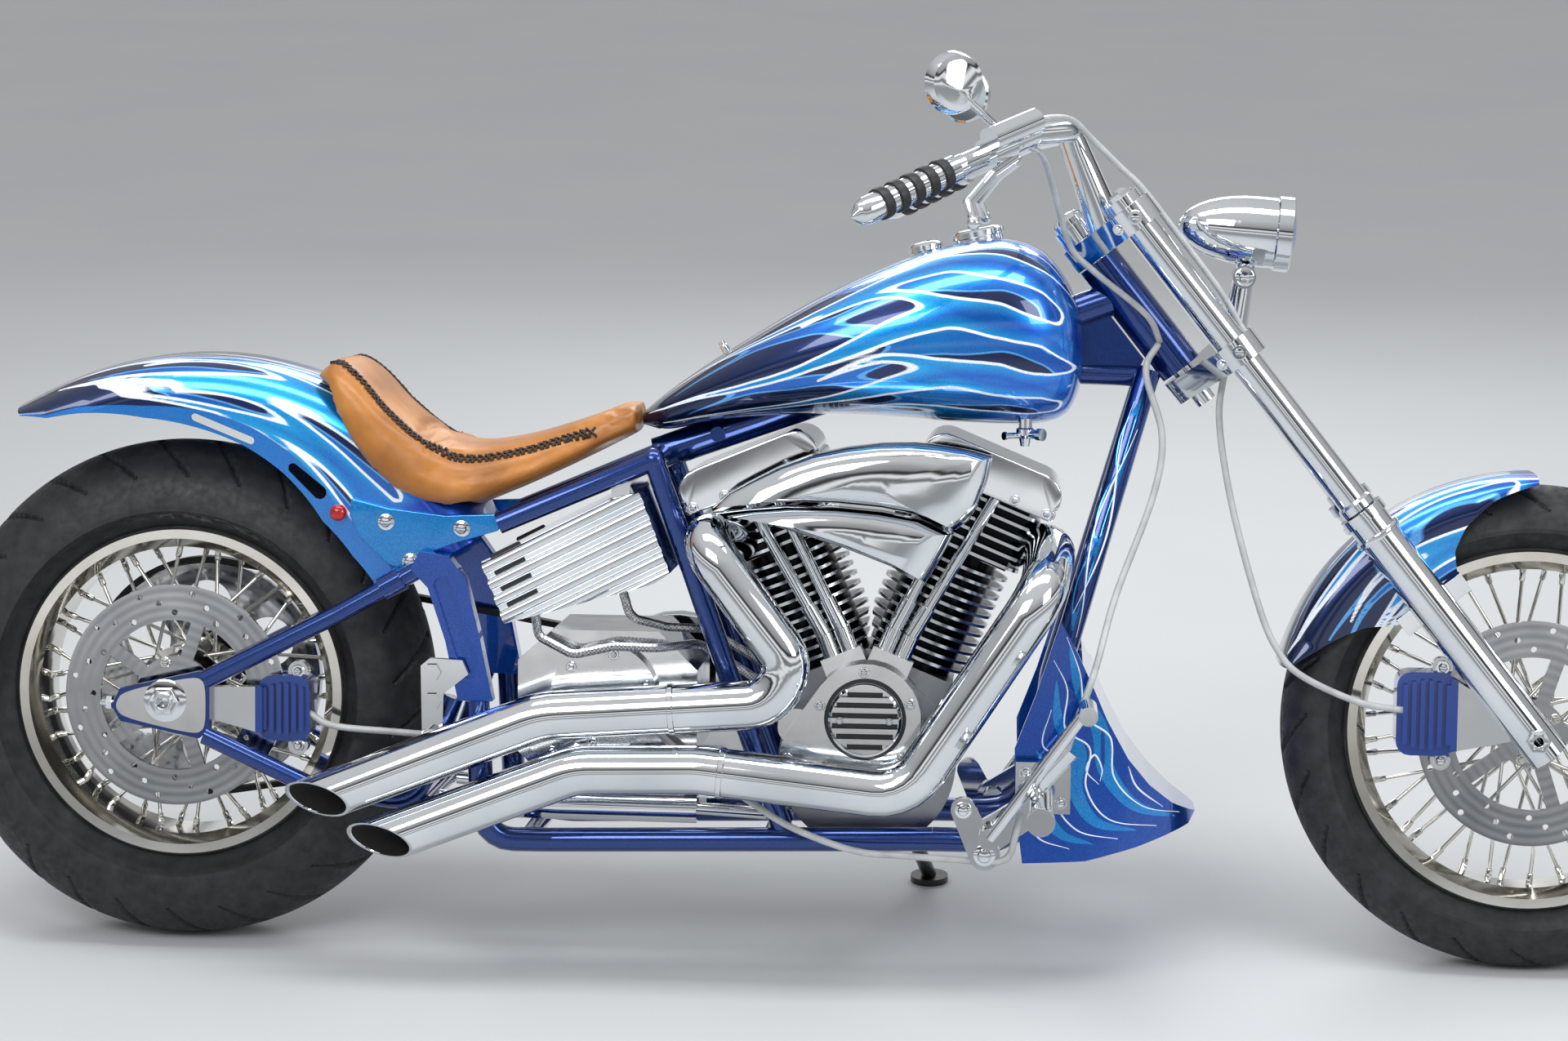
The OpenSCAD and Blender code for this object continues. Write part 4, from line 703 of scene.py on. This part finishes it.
paint(rear_fender, fender_along(*REAR_FENDER[:2], math.radians(52)),
      (50, [(40, 8, 560, 2, 3, 11), (40, 36, 440, 2, 10, 11), (40, 64, 620, -2, -11, 12),
            (40, 92, 480, -8, 12, 12), (40, 121, 600, -34, -12, 13), (40, 151, 430, -40, 12, 13),
            (40, 182, 540, -80, -10, 13), (40, 213, 360, -70, 8, 13)], 10),
      (80, [(60, 22, 520, 2, 8, 9), (60, 50, 560, 0, -10, 9), (60, 78, 540, -6, 11, 10),
            (60, 106, 560, -20, -12, 10), (60, 136, 520, -40, 12, 10), (60, 166, 480, -60, -10, 10),
            (60, 198, 440, -80, 8, 10)], 11),
      640, fender_rail)
paint(front_fender, fender_along(*FRONT_FENDER[:2], 0.05),
      (40, [(30, 4, 400, 4, 4, 9), (30, 28, 320, 0, 8, 10), (30, 53, 440, 4, -10, 11),
            (40, 79, 360, 8, 10, 11), (60, 106, 445, 10, -10, 12), (80, 134, 400, 10, 9, 12),
            (90, 162, 440, -4, -8, 12)], 9),
      (66, [(50, 16, 380, 2, 7, 8), (50, 41, 420, 4, 9, 8), (60, 66, 400, 8, -10, 9),
            (70, 93, 425, 10, 10, 9), (80, 120, 410, 10, -9, 9), (90, 148, 420, 4, 8, 9)], 10),
      420)
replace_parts(rear_fender, "rear_fender")
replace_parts(front_fender, "front_fender")
print("fender skins", len(rear_fender.data.polygons), len(front_fender.data.polygons), "faces")

# %% [markdown]
# ## Tyres
# A tyre is moulded, and its grooves are shapes that one can put a finger in. They are cut into the mesh: the
# profile is swept around the axle in small steps, and each point sinks where the groove pattern says so. The
# sidewalls carry plain rings.

# %% Tyres
def tyre_piece(name, axle, r, w, rim_r, rim_w, pitch_count, body, node):
    arc = []
    for a in np.linspace(-96, 96, 91):
        t = math.radians(a)
        arc.append((r - w / 2 + w / 2 * math.cos(t), w / 2 * math.sin(t)))
    seat = rim_w / 2 - 8
    lower = [(rim_r - 13.6, seat), (rim_r + 2, seat), (rim_r + 10, seat + 9), (rim_r + 18, seat + 18)]
    arc = [p for p in arc if p[0] > rim_r + 24]
    profile = [(q, -y) for q, y in lower] + arc + list(reversed(lower))
    lateral = np.cumsum([0] + [math.dist(a, b) for a, b in zip(profile[:-1], profile[1:])])
    lateral -= lateral[-1] / 2
    around = 8 * pitch_count * 3
    pitch = 2 * math.pi * r / pitch_count
    reach = 0.52 * w
    rings = []
    for k in range(around):
        angle = 2 * math.pi * k / around
        ring = []
        for (q, y), l in zip(profile, lateral):
            side, u = (1 if l > 0 else -1), abs(l)
            run = angle * r + (0 if side > 0 else pitch / 2)
            depth = 0.0
            if 6 < u < reach:
                sweep = 0.75 * pitch * (u / reach) ** 1.4
                off = (run - sweep + pitch / 2) % pitch - pitch / 2
                width = 3.4 * (1 - (u / reach) ** 3)
                depth = 5.0 * min(1, max(0, (width + 1.8 - abs(off)) / 1.8))
            for centre in (rim_r + 16, rim_r + 30):
                depth -= 1.1 * max(0, 1 - abs(q - centre) / 2.2)
            middle_q = r - w / 2
            d = math.hypot(q - middle_q, y) or 1
            sunk = q - depth * (q - middle_q) / d
            ring.append((axle.x + sunk * math.sin(angle), y * (1 - depth / d), axle.z + sunk * math.cos(angle)))
        rings.append(ring)
    points, faces = skin(rings, loop=True)
    made = piece(name, points, faces, rubber, body, "tyre_rubber", 44)
    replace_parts(made, node)
    print(name, len(faces), "faces")


tyre_piece("rear_tyre_tread", REAR_AXLE, 332, 180, 218, 122, 26, "rear_wheel", "rear_tyre")
tyre_piece("front_tyre_tread", FRONT_AXLE, 317, 125, 235, 88, 24, "front_wheel", "front_tyre")

# %% [markdown]
# ## Seat
# A solo seat: foam on a steel pan, covered in vegetable-tanned leather that is laced along the edge. The cover is a
# padded form, so it is swollen by a short cloth simulation: the underside, which rests on the fender and the rails,
# is pinned, and the pressure crowns the rest. The lacing comes after it, because remeshing would erase it.

# %% Leather
leather, tree, shader, where = finish("vegetable_tanned_leather", "#B0712B", 0.0, 0.42, {
    "Base Color": (70, [(0.25, "#8F561C"), (0.5, "#B0702A"), (0.75, "#C58740")]),
    "Roughness": (20, 0.34, 0.52)}, Coat_Weight=0.15, Coat_Roughness=0.3)
pores = add(tree, "TexVoronoi", {"Vector": where, "Scale": 1000 / 2.2}, feature="DISTANCE_TO_EDGE")
bump = add(tree, "Bump", {"Height": pores.outputs["Distance"], "Distance": 0.00025, "Strength": 0.35})
link(shader, "Normal", bump.outputs["Normal"])
lace = finish("waxed_leather_lace", "#2A190F", 0.0, 0.5, {"Base Color": (5, "#1E110A", "#3A2416")})[0]

# %% Seat cover
SEAT = [(190, 740, 766, 88), (214, 702, 782, 122), (245, 645, 768, 134), (285, 604, 727, 139), (330, 584, 690, 142),
        (380, 582, 667, 142), (440, 604, 672, 133), (510, 636, 691, 113), (570, 666, 713, 88), (604, 684, 728, 68)]
seat_rows = smooth_table(SEAT, np.linspace(190, 604, 90))
cover = loose("seat_cover", *skin([oval(r[0], r[1] + 2, r[2] - 3, r[3] - 3, 3, 96) for r in seat_rows]))
# The seat's hollow is the fender's crown with 2 mm to spare
(hollow_x, hollow_z), hollow_r = REAR_FENDER[0], REAR_FENDER[1] + 2
cut(cover, loose("fender_form", *skin([
    [(hollow_x + hollow_r * math.cos(a), y, hollow_z + hollow_r * math.sin(a))
     for a in turns(180)] for y in (114.5, -114.5)])))
VOXEL, SWELL = 0.005, 0.006
remesh = cover.modifiers.new("even mesh", "REMESH")
remesh.mode, remesh.voxel_size = "VOXEL", VOXEL
even = applied(cover)
cover.modifiers.clear()
cover.data = even
rest = np.array([v.co for v in even.vertices])
hold = cover.vertex_groups.new(name="pinned")
upright = np.array([UPRIGHT @ v.co for v in even.vertices])
normals = np.array([v.normal for v in even.vertices])
gap = np.hypot(upright[:, 0] - hollow_x, upright[:, 2] - hollow_z) - hollow_r
pinned = (normals[:, 2] < -0.3) | ((gap < 7) & (np.abs(upright[:, 1]) < 116))
hold.add([int(k) for k in np.nonzero(pinned)[0]], 1.0, "REPLACE")
cloth = cover.modifiers.new("padding", "CLOTH")
cloth.settings.quality = 5
cloth.settings.mass = 0.4
cloth.settings.tension_stiffness = cloth.settings.compression_stiffness = 30
cloth.settings.use_pressure = True
cloth.settings.uniform_pressure_force = 4
cloth.settings.vertex_group_mass = "pinned"
cloth.settings.effector_weights.gravity = 0
for step in range(1, 21):
    scene.frame_set(step)
swollen = applied(cover)
cover.modifiers.clear()
moved = np.array([v.co for v in swollen.vertices]) - rest
far = np.linalg.norm(moved, axis=1)
moved *= np.minimum(1, SWELL / np.maximum(far, 1e-9))[:, None]
cover.data = swollen
swollen.vertices.foreach_set("co", (rest + moved).astype(np.float32).ravel())
scene.frame_set(1)
print("seat swelled by up to", round(float(far.max()) * 1000, 1), "mm, capped at", SWELL * 1000)
fine = cover.modifiers.new("fine", "SUBSURF")
fine.levels = fine.render_levels = 1
cover.data = applied(cover)
cover.modifiers.clear()
cover.data.materials.append(leather)
cover.data.shade_smooth()
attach(cover, "frame")
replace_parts(cover, "seat")
print("seat cover", len(cover.data.polygons), "faces")


# %% [markdown]
# The lace crosses the edge of the seat panel in a braid: two strands that go over and under each other. It follows
# a line on the finished cover, and every stitch is set on the nearest point of the leather, along its normal.

# %% Lacing
def tube(path, radius, sides=8):
    """Points and faces of a closed round strand along a path of points."""
    path = [Vector(p) for p in path]
    rings, side = [], None
    for k, p in enumerate(path):
        d = (path[min(k + 1, len(path) - 1)] - path[max(k - 1, 0)]).normalized()
        side = d.orthogonal().normalized() if side is None else (side - d * side.dot(d)).normalized()
        other = d.cross(side)
        r = radius[k] if hasattr(radius, "__len__") else radius
        rings.append([p + (side * math.cos(a) + other * math.sin(a)) * r
                      for a in turns(sides)])
    return skin(rings)


def bundle(parts):
    """Several point and face lists as one."""
    points, faces = [], []
    for p, f in parts:
        faces += [tuple(k + len(points) for k in face) for face in f]
        points += list(p)
    return points, faces


def surface_of(made):
    """A search tree over an object's faces, in the parked place."""
    copy = bmesh.new()
    copy.from_mesh(made.data)
    copy.transform(made.matrix_world)
    found = BVHTree.FromBMesh(copy)
    copy.free()
    return found


surface = surface_of(cover)
stitches = []
for s in (-1, 1):
    line = []
    for row in smooth_table(SEAT, np.linspace(206, 560, 120)):
        x, low, high, half = row
        share = np.interp(x, [206, 240, 330, 440, 520, 560], [0.62, 0.72, 0.8, 0.84, 0.86, 0.98])
        z = (low + high) / 2 + (high - low) / 2 * max(0.0, 1 - share**3) ** (1 / 3)
        hit = surface.find_nearest(PARK @ Vector((x, s * half * share, z)))
        line.append((UPRIGHT @ hit[0], (UPRIGHT.to_3x3() @ hit[1]).normalized()))
    lengths = np.cumsum([0] + [(b[0] - a[0]).length for a, b in zip(line[:-1], line[1:])])
    for d in np.arange(3, lengths[-1] - 11, 8.0):
        picks = []
        for ahead in (0, 5.5, 11):
            k = min(int(np.searchsorted(lengths, d + ahead)), len(line) - 1)
            picks.append(line[k])
        flow = (picks[2][0] - picks[0][0]).normalized()
        across = picks[1][1].cross(flow).normalized()
        for way in (-1, 1):
            a = picks[0][0] + across * 7 * way + picks[0][1] * 0.6
            b = picks[1][0] + picks[1][1] * (2.0 + 0.5 * way)
            c = picks[2][0] - across * 7 * way + picks[2][1] * 0.6
            stitches.append(tube([a - picks[0][1] * 2, a, b, c, c - picks[2][1] * 2], 1.7, 6))
piece("seat_lacing", *bundle(stitches), lace, "frame", "leather", 70)
print("lacing", len(stitches), "strands")

# %% [markdown]
# ## Turned parts, screws and trim
# A motorcycle is held together by turned parts. A lathe sweeps one profile around an axis, so a bolt, a band, a
# cap and a mirror glass are all the same few lines with other rows. Six sides make a hexagon head.


# %% Lathe and bolts
def lathe(profile, at, axis, sides=20, caps=True):
    """Points and faces of a turned part: profile rows are radius and height along the axis from a point."""
    axis, at = Vector(axis).normalized(), Vector(at)
    side = axis.orthogonal().normalized()
    other = axis.cross(side)
    return skin([[at + axis * h + (side * math.cos(a) + other * math.sin(a)) * r
                  for a in turns(sides)] for r, h in profile], caps=caps)


def bolt(at, axis, r, sides=6):
    """A washer with a hexagon head, or a domed head when sides is large."""
    return bundle([lathe([(r * 1.55, -2), (r * 1.55, 1.0), (r * 1.4, 1.6)], at, axis, 24),
                   lathe([(r, 1), (r, r * 0.8), (r * 0.82, r * 1.05), (r * 0.3, r * 1.1)], at, axis, sides)])


def both(x, y, z):
    """A point on the right and its mirror image on the left."""
    return [Vector((x, -abs(y), z)), Vector((x, abs(y), z))]


def outward(p):
    return Vector((0, math.copysign(1, p.y), 0))


def cylinder_point(side, x, y, z):
    """A point of one cylinder: z runs up its axis from the crankshaft, side -1 is the rear one."""
    c, s = math.cos(side * VEE), math.sin(side * VEE)
    return CRANK + Vector((x * c + z * s, y, z * c - x * s))


def circle_of(x, z, r, count, start=0.0):
    """Places on a bolt circle, as x and z."""
    return [(x + r * math.cos(a), z + r * math.sin(a)) for a in turns(count) + start]


# %% Bolts on the frame and engine
heads = []
for x, y, z, r in [(286, 121, 570, 7), (385, 121, 563, 7), (318, 121, 519, 7), (1068, 168, 160, 9),
                   (1040, 168, 218, 7)]:
    heads += [bolt(p, outward(p), r, 16) for p in both(x, y, z)]
for side in (-1, 1):
    for x in (-84, -40, 40, 84):
        heads.append(bolt(cylinder_point(side, x, -96, 385 + 8), RIGHT, 4.5))
for x, z in circle_of(911, 326, 61, 5, 0.35)[:3] + circle_of(861, 276, 50, 6, 3.2)[:3]:
    heads.append(bolt((x, -126, z), RIGHT, 4.5, 16))
heads += [bolt((911 + dx, -142, 326), RIGHT, 3.2, 16) for dx in (-32, 32)]
heads += [bolt((x, -112, z), RIGHT, 4.5) for x, z in circle_of(570, 345, 58, 6, 0.3)]
heads += [bolt((x, -106, z), RIGHT, 4) for x, z in circle_of(500, 300, 27, 3, 0.6)]
heads += [bolt((x, -170, z), RIGHT, 5, 16) for x, z in ((1118, 268), (1164, 230))]
heads += [bolt((x, 188, z), LEFT, 5, 16) for x, z in circle_of(911, 262, 74, 8) if x > 900]
heads += [bolt((x, 188, z), LEFT, 5, 16) for x, z in circle_of(640, 305, 95, 9) if x < 680]
heads += [bolt((168, -109, 322 + dz), RIGHT, 5.5) for dz in (-49, 49)]
piece("frame_bolts", *bundle(heads), chrome, "frame", "chrome", 30)
print("frame and engine bolts", len(heads))

# %% Round covers and washers
covers = [lathe([(64, -1), (64, 3), (58, 7), (20, 9), (0.5, 9.2)], (640, 188, 305), LEFT, 64)]
covers += [lathe([(28, -1), (28, 2), (24, 3.5)], p, outward(p), 40) for p in both(0, 142, 333.1)]
for p in both(-70, 135, 328):
    covers.append(lathe([(4, -14), (4, 16), (3, 18)], p, (-1, 0, 0), 14))
    covers.append(lathe([(9, 2), (9, 9), (7, 10)], p, (-1, 0, 0), 6))
covers.append(lathe([(31.5, -4), (33, -3), (33, 3), (31.5, 4)], (667, -190, 343.1), (-290, 0, -21), 40))
covers.append(lathe([(31.5, -4), (33, -3), (33, 3), (31.5, 4)], (731, -190, 262.6), (-267, 0, 28), 40))
covers.append(lathe([(6, -6), (6, 9), (4.5, 11), (4.5, 16), (0.5, 17)], (717, 0, 791), (-0.54, 0, 0.84), 24))
covers.append(lathe([(44.2, 0), (47, 1), (47.6, 8), (47, 15), (44.2, 17), (44.2, 0)], TIMER, RIGHT, 64, False))
piece("turned_covers", *bundle(covers), chrome, "frame", "chrome", 30)

# %% Timer cover
# The bright ring above holds the ribbed cover. Black strips in the grooves between its ribs, and a black ring in
# the seam around it, are painted shade
groove_shade = [lathe([(47.8, -1), (47.8, 1.4), (53, 1.4), (53, -1), (47.8, -1)], TIMER, RIGHT, 64, False)]
for k in range(6):
    rise = (k - 2.5) * 13.5
    half = math.sqrt(43.5**2 - (abs(rise) + 3.3) ** 2)
    groove_shade.append(skin([[(TIMER.x + a * half, y, TIMER.z + rise + b * 3.3)
                        for a, b in ((-1, -1), (1, -1), (1, 1), (-1, 1))] for y in (-133.5, -135.5)]))
piece("timer_seams", *bundle(groove_shade), black_enamel, "frame", None, 30)

# %% Axle plates
# Polished plates on the ends of the swingarm. Cutting every corner twice rounds the outline
outline = [(-67, -8), (-57, 11), (40, 33), (53, 24), (53, -34), (40, -44), (-57, -23)]
for step in range(3):
    pairs = list(zip(outline, outline[1:] + outline[:1]))
    outline = [(a[0] + (b[0] - a[0]) * t, a[1] + (b[1] - a[1]) * t) for a, b in pairs for t in (0.2, 0.8)]
plates = [skin([[(x, y, REAR_AXLE.z + z) for x, z in outline] for y in (side * 141.8, side * 143.4)])
          for side in (-1, 1)]
piece("axle_plates", *bundle(plates), polished, "frame", "chrome", 30)

# %% Soot and painted shade in the pipes
# The mouths are cut aslant, and the bore behind them is black, as soot and as painted shade deep in the pipe: a
# thin cup that ends 2 mm inside the cut
soot_and_shade = finish("exhaust_soot", "#0B0A0A", 0.0, 0.9, {"Base Color": (12, "#060505", "#14110F")})[0]
facing = Vector((-0.4, -0.68, -0.62)).normalized()
linings = []
for before, end, short in [((545, -190, 262), (240, -190, 145), 54), ((500, -190, 331), (155, -190, 195), 58)]:
    end, back = Vector(end), (Vector(end) - Vector(before)).normalized()
    side = back.orthogonal().normalized()
    rings = []
    for radius, deep in ((28.2, True), (28.2, False), (27.2, False), (27.2, True)):
        ring = []
        for a in turns(48):
            arm = (side * math.cos(a) + back.cross(side) * math.sin(a)) * radius
            reach = -short - arm.dot(facing) / back.dot(facing) - 2
            ring.append(end + arm + back * (-166 if deep else reach))
        rings.append(ring)
    linings.append(skin(rings))
piece("exhaust_soot", *bundle(linings), soot_and_shade, "frame", None, 30)

# %% Fuel tap
# A brass tap, chrome plated, under the tank's right lobe: body, lever and the spigot for the hose
tap = [lathe([(9, -14), (9, 10), (12, 12), (12, 20), (8, 24), (6, 34)], (1110, -64, 712), (0, 0, -1), 20),
       lathe([(6, 0), (6, 20), (8, 22), (8, 30)], (1110, -64, 694), (0.75, -0.66, 0), 16),
       lathe([(4, 0), (4, 30), (5.5, 31), (5.5, 34)], (1110, -64, 692), (-0.8, -0.6, 0), 14)]
piece("fuel_tap", *bundle(tap), chrome, "frame", "chrome", 30)

# %% Oil tank windows
# Four windows between the ribs at the low end of the oil tank, on both ends of the barrel, filled with black
# panels: painted shade for the dark inside them
tilt = math.atan2(84, 165)
along_rib = Vector((math.cos(tilt), 0, math.sin(tilt)))
across_rib = Vector((-math.sin(tilt), 0, math.cos(tilt)))
window_shade_panels = []
for y in (-118.2, 118.2):
    for v, u0 in ((-23, 8), (-1, 10), (21, 12), (41, 16)):
        ring = [Vector((425, y, 480)) + along_rib * (u0 + 22 + a) + across_rib * (v + b)
                for a, b in [(24, -2), (24, 2), (22, 4.4), (-18, 4.4), (-20, 2), (-20, -2), (-18, -4.4),
                             (22, -4.4)]]
        window_shade_panels.append(skin([[p - Vector((0, math.copysign(2, y), 0)) for p in ring],
                             [p + Vector((0, math.copysign(0.8, y), 0)) for p in ring]]))
piece("oil_tank_windows", *bundle(window_shade_panels), black_enamel, "frame", None, 30)

# %% Fork trim
BAR_MID = fork_point(1, 0, 977)
fork_dir = fork_point(0, 0, 1) - fork_point(0, 0, 0)
fork_out = fork_point(1, 0, 0) - fork_point(0, 0, 0)
trim = []
for s in (-1, 1):
    for z in (624, 840):
        trim.append(bolt(fork_point(0, s * 137, z), (0, s, 0), 6, 16))
        trim.append(bolt(fork_point(-26, s * 124, z), (-0.5 * fork_out + Vector((0, s * 0.8, 0))), 5, 16))
    trim.append(lathe([(15, -1), (15, 6), (12, 9)], fork_point(0, s * 105, 870), fork_dir, 6))
    trim.append(bolt(fork_point(66, s * 23, 690), (0, s, 0), 8))
    trim.append(lathe([(30.5, -4), (31.5, -2), (31.5, 2), (30.5, 4)], fork_point(0, s * 105, 330), fork_dir, 40))
    trim.append(lathe([(20.4, 0), (24, 2), (24, 12), (20.4, 16)], fork_point(0, s * 105, 368), fork_dir, 40))
trim.append(lathe([(22, -1), (22, 8), (16, 14), (6, 17), (0.5, 17.5)], fork_point(-70, 0, 880), fork_dir, 40))
trim += [bolt((1649.8, -88, 343.8 + dz), RIGHT, 6) for dz in (-60, 60)]
piece("fork_bolts", *bundle(trim), chrome, "fork", "chrome", 30)

# %% Grip bands and mirror glasses
bands, glasses = [], []
for s in (-1, 1):
    near = BAR_MID + Vector((-131, s * 310, -46))
    grip_dir = Vector((-110, s * 90, -55)).normalized()
    for k in range(5):
        z = 26 + 24 * k
        bands.append(lathe([(17, z), (19.7, z + 1), (20.2, z + 4), (20.2, z + 10), (19.7, z + 13), (17, z + 14)],
                           near, grip_dir, 32))
    facing = Vector((-0.5, -s * 0.86, 0.05)).normalized()
    glasses.append(lathe([(35.6, 4.5), (35.6, 5.6), (20, 6.2), (0.5, 6.5)], BAR_MID + Vector((-141, s * 300, 54)),
                         facing, 48))
piece("grip_bands", *bundle(bands), moulded, "fork", "black_rubber", 40)
piece("mirror_glasses", *bundle(glasses), silvered, "fork", None, 30)
print("trim", len(trim), "turned parts on the fork")

# %% [markdown]
# ## Wheels
# Each spoke ends in a nipple, a small nut that sits in the rim. The disc and the pulley are held by five and six
# screws that turn with the wheel.

# %% Nipples and disc screws
for body, axle, rim_r, flange_r, flange_y, disc_y, screw_r in [
        ("rear_wheel", REAR_AXLE, 218, 60, 46, -90, 45), ("front_wheel", FRONT_AXLE, 235, 44, 34, -72, 36)]:
    nuts = []
    for side in (-1, 1):
        for k in range(20):
            way = 1 if k % 2 == 0 else -1
            hub = math.radians(360 * k / 20 + side * 4.5)
            rim = hub + way * math.radians(38)
            a = Vector(((flange_r - 5) * math.sin(hub), side * (flange_y + (3 if way > 0 else -4)),
                        (flange_r - 5) * math.cos(hub)))
            b = Vector(((rim_r - 22) * math.sin(rim), side * (14 if way > 0 else 7), (rim_r - 22) * math.cos(rim)))
            nuts.append(lathe([(2.6, -22), (4.2, -20), (4.2, -4), (5, 1)], axle + b, b - a, 8))
    nuts += [bolt((x, disc_y, z), RIGHT, 4.5, 16) for x, z in circle_of(axle.x, axle.z, screw_r, 5, 0.6)]
    if body == "rear_wheel":
        nuts += [bolt((x, 116, z), LEFT, 5.5) for x, z in circle_of(axle.x, axle.z, 44, 6, 0.5)]
    piece(body + "_nipples", *bundle(nuts), spoke_chrome, body, "chrome", 40)
    print(body, len(nuts), "nipples and screws")

# %% [markdown]
# ## Pinstripes on the spoiler and downtubes
# The painter draws these lines freehand with a long brush. Each one is a curve seen from the side; it is dropped
# onto the metal across the bike, and becomes a thin raised line that swells in the middle and ends in a point. The
# broad licks of paint between them are strips that are dropped in the same way.


# %% Pinstripes
def on_side(surface, x, z, side):
    """The point of a surface that is seen at x, z from the right (-1) or the left (1), or None."""
    way = (PARK.to_3x3() @ Vector((0, -side, 0))).normalized()
    hit = surface.ray_cast(PARK @ Vector((x, side * 420, z)), way, 0.42)[0]
    return None if hit is None else UPRIGHT @ hit


def dropped(surface, curve, side):
    """Points of a side-view curve on the surface."""
    points = [on_side(surface, x, z, side) for x, z in smooth_path(curve)]
    return [p for p in points if p is not None]


spoiler_lines = [
    [(1318, 206), (1268, 220), (1232, 258), (1226, 310), (1194, 338), (1186, 392), (1168, 440)],
    [(1288, 192), (1226, 204), (1196, 246), (1200, 296), (1168, 322), (1170, 372), (1152, 410)],
    [(1238, 178), (1186, 190), (1158, 228), (1172, 276), (1140, 300), (1150, 346)],
    [(1176, 166), (1136, 180), (1124, 214), (1138, 256), (1118, 278)],
    [(1296, 216), (1262, 244), (1250, 272)], [(1212, 250), (1196, 268), (1206, 288), (1216, 270), (1214, 254)]]
tube_lines = []
for wave, shift in ((9, 0.0), (-9, 0.35)):
    tube_lines.append([(1150 + 118 * t + wave * math.sin(9 * t + shift), 360 + 416 * t)
                       for t in np.linspace(0.18 + shift / 5, 0.82 + shift / 4, 9)])
stripes = []
for node, curves in (("chin_spoiler", spoiler_lines), ("frame_downtubes", tube_lines)):
    surface = surface_of(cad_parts[node])
    for curve in curves:
        for side in (-1, 1):
            line = dropped(surface, curve, side)
            if len(line) > 8:
                swell = [max(0.15, math.sin(math.pi * k / (len(line) - 1))) for k in range(len(line))]
                stripes.append(tube(line, [1.5 * w ** 0.6 for w in swell], 6))
piece("pinstripes", *bundle(stripes), stripe, "frame", None, 70)
print("pinstripes", len(stripes))


# %% Painted licks
def ribbon(surface, curve, side, widest, count=48):
    """A flat painted tongue on the surface: a strip along a side-view curve, widest in the middle."""
    rows = smooth_path(curve, count)
    out = Vector((0, side * 0.6, 0))
    rings = []
    for k, (x, z) in enumerate(rows):
        ahead, behind = rows[min(k + 1, count - 1)], rows[max(k - 1, 0)]
        across = Vector((behind[1] - ahead[1], ahead[0] - behind[0])).normalized()
        half = widest * math.sin(math.pi * (k + 0.5) / count) ** 0.8
        hits = [on_side(surface, x + across.x * way, z + across.y * way, side) for way in (-half, half)]
        if None not in hits:
            a, b = hits
            rings.append([a + out, b + out, b - out, a - out])
    return skin(rings)


licks = []
surface = surface_of(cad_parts["chin_spoiler"])
for curve, widest in [([(1312, 202), (1258, 222), (1222, 268), (1212, 322), (1186, 372), (1172, 428)], 11),
                      ([(1262, 188), (1208, 202), (1182, 246), (1186, 292), (1160, 330), (1156, 384)], 10),
                      ([(1206, 172), (1164, 186), (1144, 222), (1154, 262), (1132, 292)], 8)]:
    licks += [ribbon(surface, curve, side, widest) for side in (-1, 1)]
surface = surface_of(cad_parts["frame_downtubes"])
for start, end, sway in ((0.2, 0.5, 5), (0.42, 0.74, -5), (0.66, 0.92, 5)):
    curve = [(1150 + 118 * t + sway * math.sin(14 * t), 360 + 416 * t) for t in np.linspace(start, end, 7)]
    licks += [ribbon(surface, curve, side, 6.5) for side in (-1, 1)]
piece("painted_licks", *bundle(licks), sky, "frame", None, 60)
print("painted licks", len(licks))

# %% [markdown]
# ## Lines to the handlebar
# The front brake line and the control cable go up to the right lever. The brake line turns with the fork. The cable
# comes from the frame beside the neck, and is left as a fixed tube that no body carries.

# %% Bar lines
hoses = {
    "front_brake_hose": ("fork", "braided_hose", [[fork_point(*q) for q in [
        (-25, -60, 614), (-72, -62, 565), (-126, -70, 467), (-177, -80, 344), (-192, -86, 285), (-187, -92, 240),
        (-150, -94, 170), (-112, -92, 128)]]]),
    "rear_brake_hose": ("frame", "braided_hose", [[
        (180, -104, 316), (216, -110, 300), (300, -112, 294), (396, -108, 288), (430, -98, 288), (466, -86, 292)]]),
    "clutch_cable": ("frame", "black_rubber", [
        [(1281, -24, 813), (1264, -52, 775), (1286, -62, 695), (1276, -72, 617), (1230, -102, 490),
         (1205, -150, 400), (1181, -163, 330), (1171, -164, 298)],
        [(1114, -165, 222), (1108, -169, 190), (1092, -166, 154), (1030, -158, 152), (962, -156, 155),
         (900, -156, 160), (820, -156, 188), (760, -146, 222), (690, -124, 262), (622, -102, 316)]])}
for node, (body, slot, paths) in hoses.items():
    runs = [tube(smooth_path(q, 90), 4.5, 12) for q in paths]
    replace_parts(piece(node + "_smooth", *bundle(runs), sheath, body, slot, 60), node)
brake_line = smooth_path([fork_point(22, -62, 634), fork_point(30, -62, 700), fork_point(31, -62, 800),
                          fork_point(31, -66, 860), fork_point(25, -74, 900), (1190, -92, 1072), (1163, -125, 1096),
                          (1138, -190, 1098), (1117, -237, 1093)])
piece("front_brake_line", *tube(brake_line, 4.2, 10), sheath, "fork", "braided_hose", 60)
BEND_FROM, BEND_TO = Vector((1262, -50, 850)), Vector((1163, -66, 938))
cable_path = smooth_path([(1282, -27, 814), BEND_FROM, (1194, -62, 905), BEND_TO, (1140, -112, 1012),
                          (1126, -172, 1050), (1108, -232, 1062), (1100, -252, 1064)])
cable = loose("bar_cable", *tube(cable_path, 4.2, 10))
cable.data.materials.append(sheath)
cable.data.shade_smooth()
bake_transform(cable)
print("bar lines", len(brake_line), len(cable_path), "stations")
